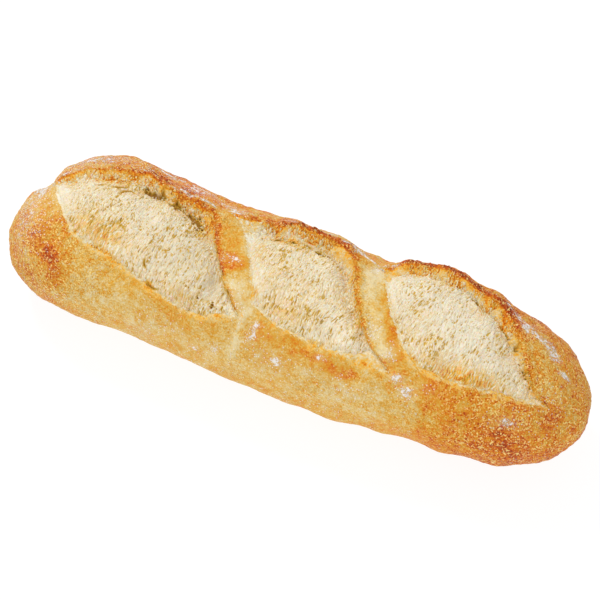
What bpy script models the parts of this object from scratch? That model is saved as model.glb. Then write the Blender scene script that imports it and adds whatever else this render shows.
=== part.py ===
"""Demi baguette: one baked loaf with three slanting scores opened across its crown.

All sizes are millimetres and become metres when the mesh is made. +X runs along the
loaf, -Y is the side the scores open towards, +Z is up and the loaf rests on z = 0.
The relief is drawn in two coordinates: x along the loaf, and w, the arc from the crown
line, which is positive on the -Y side.
"""

import math

import bmesh
import bpy
import numpy as np

NAME = "demi_baguette"
MM = 0.001

# The plain loaf before it is scored.
LENGTH = 240.0
HALF_WIDTH = 35.0
CROWN_RISE = 28.6
BELLY_DROP = 26.8
AXIS_HEIGHT = 24.8
SECTION_POWER = 2.25
LEFT_END_POWER = 6.755
RIGHT_END_POWER = 4.403
FOOT_ROUNDING = 1.2
ARC_PER_DEGREE = 0.579

# How far the hand-rolled sides swell out of the plain loaf, as (x, swell) stations.
FAR_SWELL = ((-118, -3.8), (-96, 1.7), (-82, 3.2), (-62, 0.3), (-36, -1.6), (-10, -0.3), (12, -1.6), (26, -3.4),
             (40, 1.2), (54, 2.6), (70, 0.6), (96, 0.3), (118, -1.2))
NEAR_SWELL = ((-118, 2.6), (-90, -1.2), (-58, -3.8), (-20, -1.4), (10, -0.5), (28, -0.5), (52, -3.0), (80, -1.8),
              (96, 0), (118, 0))
FAR_SWELL_AT, FAR_SWELL_SPREAD = 36.0, 42.0
NEAR_SWELL_AT, NEAR_SWELL_SPREAD = 216.0, 46.0

# Each score: the ridge on its far side and the soft edge on its near side, both as
# (x, w) corners that a smooth curve runs through, from the left tip to the right tip.
SCORES = (
    {
        "ridge": ((-107, -8), (-101, -11), (-80.5, -17.5), (-72, -20), (-64, -17.5), (-46, -15), (-37, -10.5),
                  (-29, 8.7), (-19, 21.5), (-12, 28)),
        "edge": ((-107, -8), (-100, 6), (-87, 20.3), (-66, 25), (-34, 33.6), (-17, 30.5), (-12, 28)),
        "lip": 2.4,
        "bulge": 1.6,
    },
    {
        "ridge": ((-36, -17), (-27, -17.2), (0, -23.8), (15, -19.3), (26.8, 4.6), (37.5, 19.3), (49, 27.5)),
        "edge": ((-36, -17), (-26, -9), (-12, 17.5), (-6.4, 23.8), (9, 27.6), (45, 28.6), (49, 27.5)),
        "lip": 2.6,
        "bulge": 1.6,
    },
    {
        "ridge": ((25, -19), (38, -25.5), (56, -26.5), (78, -20.3), (86, -11.2), (97, 7.5), (107.5, 20.5)),
        "edge": ((25, -19), (30, -14.5), (42, 8.2), (54, 21), (70, 23.6), (90, 22.3), (107.5, 20.5)),
        "lip": 2.6,
        "bulge": 1.8,
    },
)
CURVE_STEPS = 14

# Shares of the lip, of the depth and of the face's run, at fractions along the ridge.
ALONG = (0, 0.12, 0.35, 0.62, 0.78, 0.92, 1)
LIP_SHARE = (0.25, 0.7, 1, 1, 0.8, 0.5, 0.15)
DEPTH_SHARE = (0.2, 0.65, 1, 0.95, 0.55, 0.4, 0.1)
FACE_SHARE = (1, 1.15, 1.05, 0.9, 0.5, 0.32, 0.3)
LIP_CREST_SPREAD = 2.6
LIP_SHOULDER_SPREAD = 11.0
FACE_RUN = 6.2
CRUMB_DEPTH = 6.0
CRUMB_CLIMB = 8.0
CREASE_ROUNDING = 0.8
EDGE_LIFT = 0.8
EDGE_SPREAD = 4.5
EDGE_FURROW = 0.9
EDGE_FURROW_RUN = 2.2

# The two crust bridges left between the scores, as (x, w) corners.
BRIDGES = (
    ((-35, -14), (-27, 1), (-20.5, 12), (-14, 23)),
    ((21, -17), (29, -3), (36.5, 9), (46, 21)),
)
BRIDGE_LIFT = 1.3
BRIDGE_SPREAD = 4.6

# The furrow where the first score runs out over the left shoulder.
SHOULDER_FURROW = ((-118, -42), (-117, -29), (-114, -18), (-109, -8), (-104, -2))
SHOULDER_DEPTH = 2.4
SHOULDER_SPREAD = 4.2

# Gentle unevenness of a hand-shaped loaf.
SEED = 4862
CRUST_WAVES = (0.30, 15.0, 24)
CRUMB_WAVES = (0.28, 9.0, 32)

# Mesh density: rings along the loaf, and segments round it, closer over the crown.
RINGS = 88
SEGMENTS = 68
CROWN_FROM, CROWN_TO = 30.0, 152.0
CROWN_DENSITY = 1.3
RING_SLANT = 23.0
SNAP_REACH = 0.75

CRUST_COLOUR = (0.62, 0.33, 0.11, 1.0)
CRUST_ROUGHNESS = 0.62


def smooth_curve(corners):
    """Dense points of the Catmull-Rom curve through the corners."""
    p = np.asarray(corners, float)
    ends = np.vstack([2 * p[0] - p[1], p, 2 * p[-1] - p[-2]])
    t = np.linspace(0, 1, CURVE_STEPS, endpoint=False)[:, None]
    runs = []
    for a, b, c, d in zip(ends[:-3], ends[1:-2], ends[2:-1], ends[3:]):
        cubic = (-a + 3 * b - 3 * c + d) * t**3 + (2 * a - 5 * b + 4 * c - d) * t**2
        runs.append(0.5 * (2 * b + (c - a) * t + cubic))
    return np.vstack(runs + [p[-1:]])


def nearest(x, w, curve):
    """Distance to the curve, the fraction along it, and the nearest point on it."""
    best = np.full(x.shape, np.inf)
    found = np.zeros(x.shape, int)
    for i, (cx, cw) in enumerate(curve):
        gap = (x - cx) ** 2 + (w - cw) ** 2
        closer = gap < best
        best = np.where(closer, gap, best)
        found = np.where(closer, i, found)
    return np.sqrt(best), found / (len(curve) - 1), curve[found]


def smooth_max(a, b, rounding):
    """The larger of two heights, rounded where they cross."""
    share = np.clip(0.5 + 0.5 * (a - b) / rounding, 0, 1)
    return b * (1 - share) + a * share + rounding * share * (1 - share)


def bell(distance, spread):
    return np.exp(-((distance / spread) ** 2))


def score_relief(score, x, w):
    """(height outside the score, height inside it, which points are inside)."""
    ridge = smooth_curve(score["ridge"])
    edge = smooth_curve(score["edge"])
    from_ridge, along, _ = nearest(x, w, ridge)
    from_edge, _, _ = nearest(x, w, edge)
    within = (x > ridge[0, 0]) & (x < ridge[-1, 0])
    below_ridge = w > np.interp(x, ridge[:, 0], ridge[:, 1])
    inside = within & below_ridge & (w < np.interp(x, edge[:, 0], edge[:, 1]))

    lip = score["lip"] * np.interp(along, ALONG, LIP_SHARE)
    deep = CRUMB_DEPTH * np.interp(along, ALONG, DEPTH_SHARE)
    run = FACE_RUN * np.interp(along, ALONG, FACE_SHARE)
    crest = 0.5 * bell(from_ridge, LIP_CREST_SPREAD) + 0.5 * bell(from_ridge, LIP_SHOULDER_SPREAD)
    soft = EDGE_LIFT * bell(from_edge, EDGE_SPREAD)
    outside = np.maximum(lip * crest, soft)

    face = lip - (lip + deep) * (from_ridge / run) ** 0.9
    open_share = 1 - bell(from_edge, EDGE_FURROW_RUN)
    rise = 1 - np.exp(-from_ridge / CRUMB_CLIMB)
    bulge = score["bulge"] * (1 - np.exp(-from_edge / 6)) * rise
    furrow = EDGE_FURROW * (from_edge / EDGE_FURROW_RUN) * np.exp(-from_edge / EDGE_FURROW_RUN)
    crumb = EDGE_LIFT * (1 - open_share) + open_share * (bulge - deep * (1 - rise)) - furrow
    return outside, smooth_max(face, crumb, CREASE_ROUNDING), inside


def relief(x, w):
    """Height of the scored crown over the plain loaf, and which points are crumb."""
    outside = np.zeros(x.shape)
    opened = np.zeros(x.shape)
    crumb = np.zeros(x.shape, bool)
    for score in SCORES:
        around, floor, inside = score_relief(score, x, w)
        outside = np.maximum(outside, around)
        opened = np.where(inside, floor, opened)
        crumb |= inside
    height = np.where(crumb, opened, outside)
    for bridge in BRIDGES:
        height += BRIDGE_LIFT * bell(nearest(x, w, smooth_curve(bridge))[0], BRIDGE_SPREAD)
    furrow, along, _ = nearest(x, w, smooth_curve(SHOULDER_FURROW))
    fade = np.sin(math.pi * along) ** 0.7
    return height - SHOULDER_DEPTH * fade * bell(furrow, SHOULDER_SPREAD), crumb


def length_profile(x):
    """Share of the full girth at x; the two ends round off at different rates."""
    s = np.clip(x / (LENGTH / 2), -1, 1)
    power = np.where(s < 0, LEFT_END_POWER, RIGHT_END_POWER)
    return np.sqrt(np.clip(1 - np.abs(s) ** power, 0, 1))


def plain_loaf(x, angle):
    """Point of the unscored loaf; angle is 0 at +Y and a quarter turn at the crown."""
    c, s = np.cos(angle), np.sin(angle)
    rise = np.where(s >= 0, CROWN_RISE, BELLY_DROP)
    girth = np.abs(c / HALF_WIDTH) ** SECTION_POWER + np.abs(s / rise) ** SECTION_POWER
    reach = length_profile(x) * girth ** (-1 / SECTION_POWER)
    return np.stack([x, reach * c, AXIS_HEIGHT + reach * s], -1)


def outward(x, angle):
    """Unit normals of the plain loaf."""
    round_it = plain_loaf(x, angle + 0.001) - plain_loaf(x, angle - 0.001)
    along_it = plain_loaf(x + 0.1, angle) - plain_loaf(x - 0.1, angle)
    normal = np.cross(round_it, along_it)
    length = np.linalg.norm(normal, axis=-1, keepdims=True)
    tip = np.stack([np.sign(x), np.zeros_like(x), np.zeros_like(x)], -1)
    at_tip = np.abs(x[..., None]) > LENGTH / 2 - 0.6
    return np.where(at_tip | (length < 1e-9), tip, normal / np.maximum(length, 1e-9))


def swell(x, angle):
    """Uneven fullness of the two long sides, faded out at the tips."""
    turn = np.degrees(angle)
    total = np.zeros(x.shape)
    for values, at, spread in (
        (FAR_SWELL, FAR_SWELL_AT, FAR_SWELL_SPREAD),
        (NEAR_SWELL, NEAR_SWELL_AT, NEAR_SWELL_SPREAD),
    ):
        row = smooth_curve(values)
        away = (turn - at + 180) % 360 - 180
        total += np.interp(x, row[:, 0], row[:, 1]) * bell(away, spread)
    return total * np.clip(length_profile(x) / 0.45, 0, 1)


def waves(points, amplitude, wavelength, count, rng):
    """Smooth seeded unevenness: many plane waves through space, added up."""
    total = np.zeros(points.shape[:-1])
    for _ in range(count):
        heading = rng.normal(size=3)
        heading *= 2 * math.pi / wavelength / np.linalg.norm(heading)
        total += np.cos(points @ heading * rng.uniform(0.7, 1.4) + rng.uniform(0, 2 * math.pi))
    return amplitude * total / math.sqrt(count / 2)


def set_down(z):
    """Flatten the belly onto z = 0 with a rounded rim."""
    blend = (z + FOOT_ROUNDING) ** 2 / (4 * FOOT_ROUNDING)
    return np.where(z < -FOOT_ROUNDING, 0.0, np.where(z > FOOT_ROUNDING, z, blend))


def loaf_points(x, angle):
    """Finished surface points for every (x, angle)."""
    rng = np.random.default_rng(SEED)
    turn = (np.degrees(angle) + 90) % 360 - 90
    height, crumb = relief(x, (turn - 90) * ARC_PER_DEGREE)
    points = plain_loaf(x, angle)
    crust = waves(points, *CRUST_WAVES, rng)
    inner = waves(points, *CRUMB_WAVES, rng)
    height = height + swell(x, angle) + crust + np.where(crumb, inner, 0)
    points = points + outward(x, angle) * height[..., None]
    points[..., 2] = set_down(points[..., 2])
    return points


def ring_stations():
    """x of every ring, evenly spaced along the outline so the round ends stay round."""
    x = -np.cos(np.linspace(0, math.pi, 2001)) * LENGTH / 2
    steps = np.hypot(np.diff(x), np.diff(length_profile(x) * HALF_WIDTH))
    run = np.concatenate([[0], np.cumsum(steps)])
    return np.interp(np.linspace(0, run[-1], RINGS + 1), run, x)


def segment_angles():
    """Angle of every segment, closer together over the scored crown."""
    turn = np.linspace(0, 360, 1441)
    signed = (turn + 90) % 360 - 90
    crown = 1 / (1 + np.exp((CROWN_FROM - signed) / 6)) / (1 + np.exp((signed - CROWN_TO) / 6))
    run = np.concatenate([[0], np.cumsum(1 + CROWN_DENSITY * crown[1:])])
    return np.radians(np.interp(np.linspace(0, run[-1], SEGMENTS + 1), run, turn))


def slanted(x, angle):
    """Lean the rings over the crown the way the scores lean."""
    lean = RING_SLANT * np.cos(math.pi - angle)
    return x + lean * (1 - (2 * x / LENGTH) ** 4)


def snap_to_scores(x, angle):
    """Draw the grid towards the ridges and edges so that facets follow them."""
    turn = (np.degrees(angle) + 90) % 360 - 90
    w = (turn - 90) * ARC_PER_DEGREE
    reach = SNAP_REACH * LENGTH / RINGS
    for score in SCORES:
        for side in ("ridge", "edge"):
            gap, _, target = nearest(x, w, smooth_curve(score[side]))
            pull = bell(gap, reach)
            x = x + (target[..., 0] - x) * pull
            w = w + (target[..., 1] - w) * pull
    return x, np.radians(w / ARC_PER_DEGREE + 90)


def crust_material():
    material = bpy.data.materials.new(NAME + "_crust")
    material.use_nodes = True
    shader = material.node_tree.nodes["Principled BSDF"]
    shader.inputs["Base Color"].default_value = CRUST_COLOUR
    shader.inputs["Roughness"].default_value = CRUST_ROUGHNESS
    return material


def build_loaf():
    """A sphere whose poles are the loaf's tips, moved vertex by vertex to its form."""
    work = bmesh.new()
    bmesh.ops.create_uvsphere(work, u_segments=SEGMENTS, v_segments=RINGS, radius=1.0)
    ball = np.array([v.co for v in work.verts])
    ring = RINGS * (1 - np.arccos(np.clip(ball[:, 2], -1, 1)) / math.pi)
    segment = SEGMENTS * (np.arctan2(ball[:, 1], ball[:, 0]) / (2 * math.pi) % 1)
    x = np.interp(ring, np.arange(RINGS + 1), ring_stations())
    angle = np.interp(segment, np.arange(SEGMENTS + 1), segment_angles())
    points = loaf_points(*snap_to_scores(slanted(x, angle), angle))
    points[:, :2] -= (points.min(axis=0) + points.max(axis=0))[:2] / 2
    for vertex, point in zip(work.verts, points * MM):
        vertex.co = point
    bmesh.ops.triangulate(work, faces=work.faces)
    mesh = bpy.data.meshes.new(NAME)
    work.to_mesh(mesh)
    work.free()
    mesh.shade_smooth()
    mesh.materials.append(crust_material())
    return bpy.data.objects.new(NAME, mesh)


def build():
    for old in list(bpy.data.objects):
        bpy.data.objects.remove(old, do_unlink=True)
    collection = bpy.data.collections.new(NAME)
    bpy.context.scene.collection.children.link(collection)
    collection.objects.link(build_loaf())


build()
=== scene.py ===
"""Demi baguette: its browned crust, its torn open crumb and a plain studio.

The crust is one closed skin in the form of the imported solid. It is drawn in two
coordinates, both in millimetres: x along the loaf, and w, the arc from the crown line,
positive on the -Y side that the scores open towards. Each score's crumb is a piece of
its own that wells up between the torn face under the ridge and the soft near edge.
"""

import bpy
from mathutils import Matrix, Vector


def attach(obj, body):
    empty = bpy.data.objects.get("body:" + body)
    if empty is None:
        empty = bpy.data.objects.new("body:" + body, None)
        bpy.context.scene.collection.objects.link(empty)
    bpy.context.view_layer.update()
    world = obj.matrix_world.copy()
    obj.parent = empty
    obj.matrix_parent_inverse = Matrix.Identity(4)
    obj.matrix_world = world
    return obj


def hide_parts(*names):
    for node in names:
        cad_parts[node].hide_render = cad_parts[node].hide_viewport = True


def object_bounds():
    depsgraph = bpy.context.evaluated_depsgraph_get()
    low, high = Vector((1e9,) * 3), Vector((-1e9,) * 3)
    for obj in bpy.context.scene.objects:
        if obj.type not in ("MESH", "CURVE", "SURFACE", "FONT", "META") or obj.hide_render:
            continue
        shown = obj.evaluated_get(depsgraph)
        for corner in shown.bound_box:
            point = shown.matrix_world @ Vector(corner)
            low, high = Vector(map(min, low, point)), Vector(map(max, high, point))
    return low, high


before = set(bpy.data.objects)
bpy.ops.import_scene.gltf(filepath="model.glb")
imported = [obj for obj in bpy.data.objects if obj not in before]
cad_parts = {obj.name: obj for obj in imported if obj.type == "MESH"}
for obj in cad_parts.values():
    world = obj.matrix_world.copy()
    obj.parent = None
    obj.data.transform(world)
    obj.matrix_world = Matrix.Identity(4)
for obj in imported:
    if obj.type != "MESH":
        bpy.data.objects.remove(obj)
packed_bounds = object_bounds()
packed_low, packed_high = tuple(packed_bounds[0]), tuple(packed_bounds[1])

import logging
import math
from dataclasses import dataclass
from enum import Enum
from typing import Any

import bpy
import numpy as np
from mathutils import Vector

Array = np.ndarray
Colour = tuple[float, float, float, float]
Corners = tuple[tuple[float, float], ...]
Patches = tuple[tuple[float, float, float, float, float], ...]
Place = dict[str, Array]
Size = float | tuple[float, ...]
Socket = bpy.types.NodeSocket
Stops = tuple[tuple[float, Colour], ...]

MM = 0.001
LATTICE_PRIMES = (73856093, 19349663, 83492791)
PLACE_SALT, OWN_SALT = 11, 5
log = logging.getLogger("demi_baguette")


class Layer(Enum):
    """Mesh attributes that carry the bake and the painted shade from the form to the materials."""

    TOAST = "toast"
    FLOUR = "flour"
    TORN = "torn"
    BAKE = "bake"
    # Painted shade of pits, cracks, holes and creases.
    HOLLOW = "hollow"
    WARM = "warm"
    STRAND = "strand"
    GRAIN = "grain"
    SHADE = "shade"


# ---------------------------------------------------------------- numbers to shapes


def bell(distance: Array, spread: float | Array) -> Array:
    """A bell curve of height one that has fallen to 1/e at the spread."""
    return np.exp(-((distance / spread) ** 2))


def ease(value: Array, start: float, end: float) -> Array:
    """Rise smoothly from 0 at start to 1 at end; the end may be below the start."""
    t = np.clip((value - start) / (end - start), 0, 1)
    return t * t * (3 - 2 * t)


def smooth_max(a: Array, b: Array, rounding: float) -> Array:
    """The larger of two heights, rounded where they differ by less than the rounding."""
    share = np.clip(0.5 + 0.5 * (a - b) / rounding, 0, 1)
    return b * (1 - share) + a * share + rounding * share * (1 - share)


def smooth_curve(corners: Corners, steps: int = 14) -> Array:
    """Dense points of a smooth curve that runs through some corners.

    Args:
        corners: Points that the curve runs through.
        steps: Points made from one corner to the next.

    Returns:
        The curve's points, one row each.
    """
    p = np.asarray(corners, float)
    ends = np.vstack([2 * p[0] - p[1], p, 2 * p[-1] - p[-2]])
    t = np.linspace(0, 1, steps, endpoint=False)[:, None]
    runs = []
    for a, b, c, d in zip(ends[:-3], ends[1:-2], ends[2:-1], ends[3:]):
        cubic = (-a + 3 * b - 3 * c + d) * t**3 + (2 * a - 5 * b + 4 * c - d) * t**2
        runs.append(0.5 * (2 * b + (c - a) * t + cubic))
    return np.vstack([*runs, p[-1:]])


def nearest(x: Array, w: Array, curve: Array) -> tuple[Array, Array]:
    """Find how near points lie to a curve.

    Args:
        x: Places along the loaf.
        w: Arcs from the crown.
        curve: Dense points of the curve.

    Returns:
        The distance to the curve, and the fraction of the way along it.
    """
    best = np.full(x.shape, np.inf)
    found = np.zeros(x.shape, int)
    for i, (cx, cw) in enumerate(curve):
        gap = (x - cx) ** 2 + (w - cw) ** 2
        closer = gap < best
        best = np.where(closer, gap, best)
        found = np.where(closer, i, found)
    return np.sqrt(best), found / (len(curve) - 1)


def patched(x: Array, w: Array, patches: Patches) -> Array:
    """Add up soft oval patches.

    Args:
        x: Places along the loaf.
        w: Arcs from the crown.
        patches: Middle, half length, half width and amount of each patch.

    Returns:
        The sum of the patches at each place.
    """
    total = np.zeros(x.shape)
    for middle_x, middle_w, half_x, half_w, amount in patches:
        total += amount * bell(x - middle_x, half_x) * bell(w - middle_w, half_w)
    return total


@dataclass(frozen=True)
class Crumple:
    """Seeded noise on a lattice, in any number of directions."""

    seed: int
    crease: float = 2.6

    def _draw(self, corner: Array, salt: int = 0) -> Array:
        """One even random number from 0 to 1 for each whole-numbered lattice corner."""
        primes = np.array(LATTICE_PRIMES, np.int64)[: corner.shape[-1]]
        mixed = (corner.astype(np.int64) * primes).sum(-1) + (self.seed * 7919 + salt * 104729)
        mixed = (mixed ^ (mixed >> 13)) * 1274126177
        return ((mixed ^ (mixed >> 16)) & 0xFFFFF) / float(0xFFFFF)

    def soft(self, points: Array, cell: Size) -> Array:
        """Smooth noise.

        Args:
            points: Places, one row each.
            cell: Size of a lump, one number or one for each direction.

        Returns:
            Numbers from -1 to 1.
        """
        place = points / np.asarray(cell, float)
        low = np.floor(place)
        part = place - low
        part = part**3 * (part * (part * 6 - 15) + 10)
        total = np.zeros(points.shape[:-1])
        directions = points.shape[-1]
        for corner in range(2**directions):
            step = np.array([(corner >> k) & 1 for k in range(directions)])
            weight = np.prod(np.where(step, part, 1 - part), axis=-1)
            total += weight * self._draw(low + step)
        return total * 2 - 1

    def rough(self, points: Array, cell: Size, octaves: int = 3) -> Array:
        """Noise with finer noise on it, each step half the size and half the height.

        Args:
            points: Places, one row each.
            cell: Size of the largest lumps.
            octaves: Number of sizes.

        Returns:
            Numbers from about -1 to 1.
        """
        total = np.zeros(points.shape[:-1])
        size = np.asarray(cell, float)
        for k in range(octaves):
            finer = Crumple(self.seed + 31 * k)
            total += finer.soft(points, size / 2**k) / 2**k
        return total / (2 - 0.5 ** (octaves - 1))

    def creased(self, points: Array, cell: Size, octaves: int = 3) -> Array:
        """Noise with sharp crests, as torn dough has.

        Args:
            points: Places, one row each.
            cell: Size of the largest lumps.
            octaves: Number of sizes.

        Returns:
            Numbers from -1 to 1, near 1 on the crests.
        """
        total = np.zeros(points.shape[:-1])
        size = np.asarray(cell, float)
        for k in range(octaves):
            finer = Crumple(self.seed + 31 * k)
            total += (1 - self.crease * np.abs(finer.soft(points, size / 2**k))) / 2**k
        return np.clip(total / (2 - 0.5 ** (octaves - 1)), -1, 1)

    def _spots(self, points: Array, cell: Size, stray: float) -> tuple[Array, Array, Array]:
        """Find the nearest of some spots, one in each lattice cell.

        Args:
            points: Places, one row each.
            cell: Size of a lattice cell, one number or one for each direction.
            stray: Share of its cell that a spot may lie in.

        Returns:
            Distances in cells to the nearest spot and to the next one, and the nearest
            spot's own number from 0 to 1.
        """
        place = points / np.asarray(cell, float)
        low = np.floor(place)
        directions = points.shape[-1]
        best = np.full(points.shape[:-1], np.inf)
        second = best.copy()
        own = np.zeros(points.shape[:-1])
        for code in range(3**directions):
            home = low + np.array([(code // 3**k) % 3 - 1 for k in range(directions)])
            drawn = np.stack([self._draw(home, PLACE_SALT + k) for k in range(directions)], -1)
            gap = ((place - home - (1 - stray) / 2 - stray * drawn) ** 2).sum(-1)
            closer = gap < best
            second = np.where(closer, best, np.minimum(second, gap))
            best = np.where(closer, gap, best)
            own = np.where(closer, self._draw(home, OWN_SALT), own)
        return np.sqrt(best), np.sqrt(second), own

    def blobs(self, points: Array, cell: Size) -> tuple[Array, Array]:
        """Distance in cells to the nearest blob's middle, and that blob's own number."""
        best, _, own = self._spots(points, cell, 0.7)
        return best, own

    def cells(self, points: Array, cell: Size) -> tuple[Array, Array]:
        """How far points lie from the walls between bubbles, and each bubble's own number."""
        best, second, own = self._spots(points, cell, 1.0)
        return second - best, own


# ---------------------------------------------------------------- the loaf's form


@dataclass(frozen=True)
class LoafForm:
    """The hand-rolled loaf before it is scored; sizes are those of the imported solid."""

    length: float = 240.0
    half_width: float = 35.0
    crown_rise: float = 28.6
    belly_drop: float = 26.8
    axis_height: float = 24.8
    section_power: float = 2.25
    left_end_power: float = 6.755
    right_end_power: float = 4.403
    foot_rounding: float = 1.2
    arc_per_degree: float = 0.579
    centre: tuple[float, float] = (-0.5, 0.5)
    far_swell: Corners = (
        (-118, -3.8), (-96, 1.7), (-82, 3.2), (-62, 0.3), (-36, -1.6), (-10, -0.3), (12, -1.6),
        (26, -3.4), (40, 1.2), (54, 2.6), (70, 0.6), (96, 0.3), (118, -1.2),
    )
    near_swell: Corners = (
        (-118, 2.6), (-90, -1.2), (-58, -3.8), (-20, -1.4), (10, -0.5), (28, -0.5), (52, -3.0),
        (80, -1.8), (96, 0), (118, 0),
    )
    far_side: tuple[float, float] = (36.0, 42.0)
    near_side: tuple[float, float] = (216.0, 46.0)
    seed: int = 4862
    crust_waves: tuple[float, float, int] = (0.30, 15.0, 24)
    heat_noise: Crumple = Crumple(23)
    heat_patch: float = 5.0

    def girth(self, x: Array) -> Array:
        """Share of the full girth at x; the two ends round off at different rates."""
        s = np.clip(x / (self.length / 2), -1, 1)
        power = np.where(s < 0, self.left_end_power, self.right_end_power)
        return np.sqrt(np.clip(1 - np.abs(s) ** power, 0, 1))

    def plain(self, x: Array, angle: Array) -> Array:
        """Points of the unscored loaf.

        Args:
            x: Places along the loaf.
            angle: Turn round it in radians, 0 at +Y and a quarter turn at the crown.

        Returns:
            Points in millimetres.
        """
        c, s = np.cos(angle), np.sin(angle)
        rise = np.where(s >= 0, self.crown_rise, self.belly_drop)
        across = np.abs(c / self.half_width) ** self.section_power
        upward = np.abs(s / rise) ** self.section_power
        reach = self.girth(x) * (across + upward) ** (-1 / self.section_power)
        return np.stack([x, reach * c, self.axis_height + reach * s], -1)

    def turn(self, w: Array) -> Array:
        """The turn round the loaf, in radians, at some arcs from the crown."""
        return np.radians(w / self.arc_per_degree + 90)

    def under(self, x: Array, w: Array) -> Array:
        """Points of the unscored loaf under some places of the relief."""
        return self.plain(x, self.turn(w))

    def heat(self, plain: Array) -> Array:
        """Unevenness of the oven's heat at points of the unscored loaf, 0 to 1."""
        return 0.5 + 0.5 * self.heat_noise.rough(plain, self.heat_patch, 3)

    def outward(self, x: Array, angle: Array) -> Array:
        """Unit normals of the unscored loaf.

        Args:
            x: Places along the loaf.
            angle: Turn round it in radians.

        Returns:
            One outward unit vector for each point.
        """
        round_it = self.plain(x, angle + 0.001) - self.plain(x, angle - 0.001)
        along_it = self.plain(x + 0.1, angle) - self.plain(x - 0.1, angle)
        normal = np.cross(round_it, along_it)
        length = np.linalg.norm(normal, axis=-1, keepdims=True)
        tip = np.stack([np.sign(x), np.zeros_like(x), np.zeros_like(x)], -1)
        at_tip = np.abs(x[..., None]) > self.length / 2 - 0.6
        return np.where(at_tip | (length < 1e-9), tip, normal / np.maximum(length, 1e-9))

    def swell(self, x: Array, angle: Array) -> Array:
        """Uneven fullness of the two long sides, faded out at the tips.

        Args:
            x: Places along the loaf.
            angle: Turn round it in radians.

        Returns:
            Height over the plain loaf.
        """
        turn = np.degrees(angle)
        total = np.zeros(x.shape)
        sides = (self.far_swell, self.far_side), (self.near_swell, self.near_side)
        for corners, (at, spread) in sides:
            row = smooth_curve(corners)
            away = (turn - at + 180) % 360 - 180
            total += np.interp(x, row[:, 0], row[:, 1]) * bell(away, spread)
        return total * np.clip(self.girth(x) / 0.45, 0, 1)

    def waves(self, points: Array) -> Array:
        """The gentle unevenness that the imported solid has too.

        Args:
            points: Points of the unscored loaf.

        Returns:
            Height over the plain loaf.
        """
        amplitude, wavelength, count = self.crust_waves
        rng = np.random.default_rng(self.seed)
        total = np.zeros(points.shape[:-1])
        for _ in range(count):
            heading = rng.normal(size=3)
            heading *= 2 * math.pi / wavelength / np.linalg.norm(heading)
            total += np.cos(points @ heading * rng.uniform(0.7, 1.4) + rng.uniform(0, 2 * math.pi))
        return amplitude * total / math.sqrt(count / 2)

    def place(self, x: Array, w: Array, height: Array) -> Array:
        """Lay a relief over the loaf.

        Args:
            x: Places along the loaf.
            w: Arcs from the crown.
            height: Relief over the plain loaf.

        Returns:
            Finished points in metres, in the row's frame.
        """
        angle = self.turn(w)
        plain = self.plain(x, angle)
        total = height + self.swell(x, angle) + self.waves(plain)
        points = plain + self.outward(x, angle) * total[..., None]
        z = points[..., 2]
        blend = (z + self.foot_rounding) ** 2 / (4 * self.foot_rounding)
        flat = np.where(z < -self.foot_rounding, 0.0, blend)
        points[..., 2] = np.where(z > self.foot_rounding, z, flat)
        points[..., 0] -= self.centre[0]
        points[..., 1] -= self.centre[1]
        return np.clip(points * MM, packed_low, packed_high)


@dataclass(frozen=True)
class CrumbLook:
    """How one score's crumb looks; patches are (x, w, half width, half height, amount)."""

    softness: float
    warmth: float
    cell: tuple[float, float]
    dapples: Patches
    shades: Patches = ()
    bubbles: Patches = ()


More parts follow.
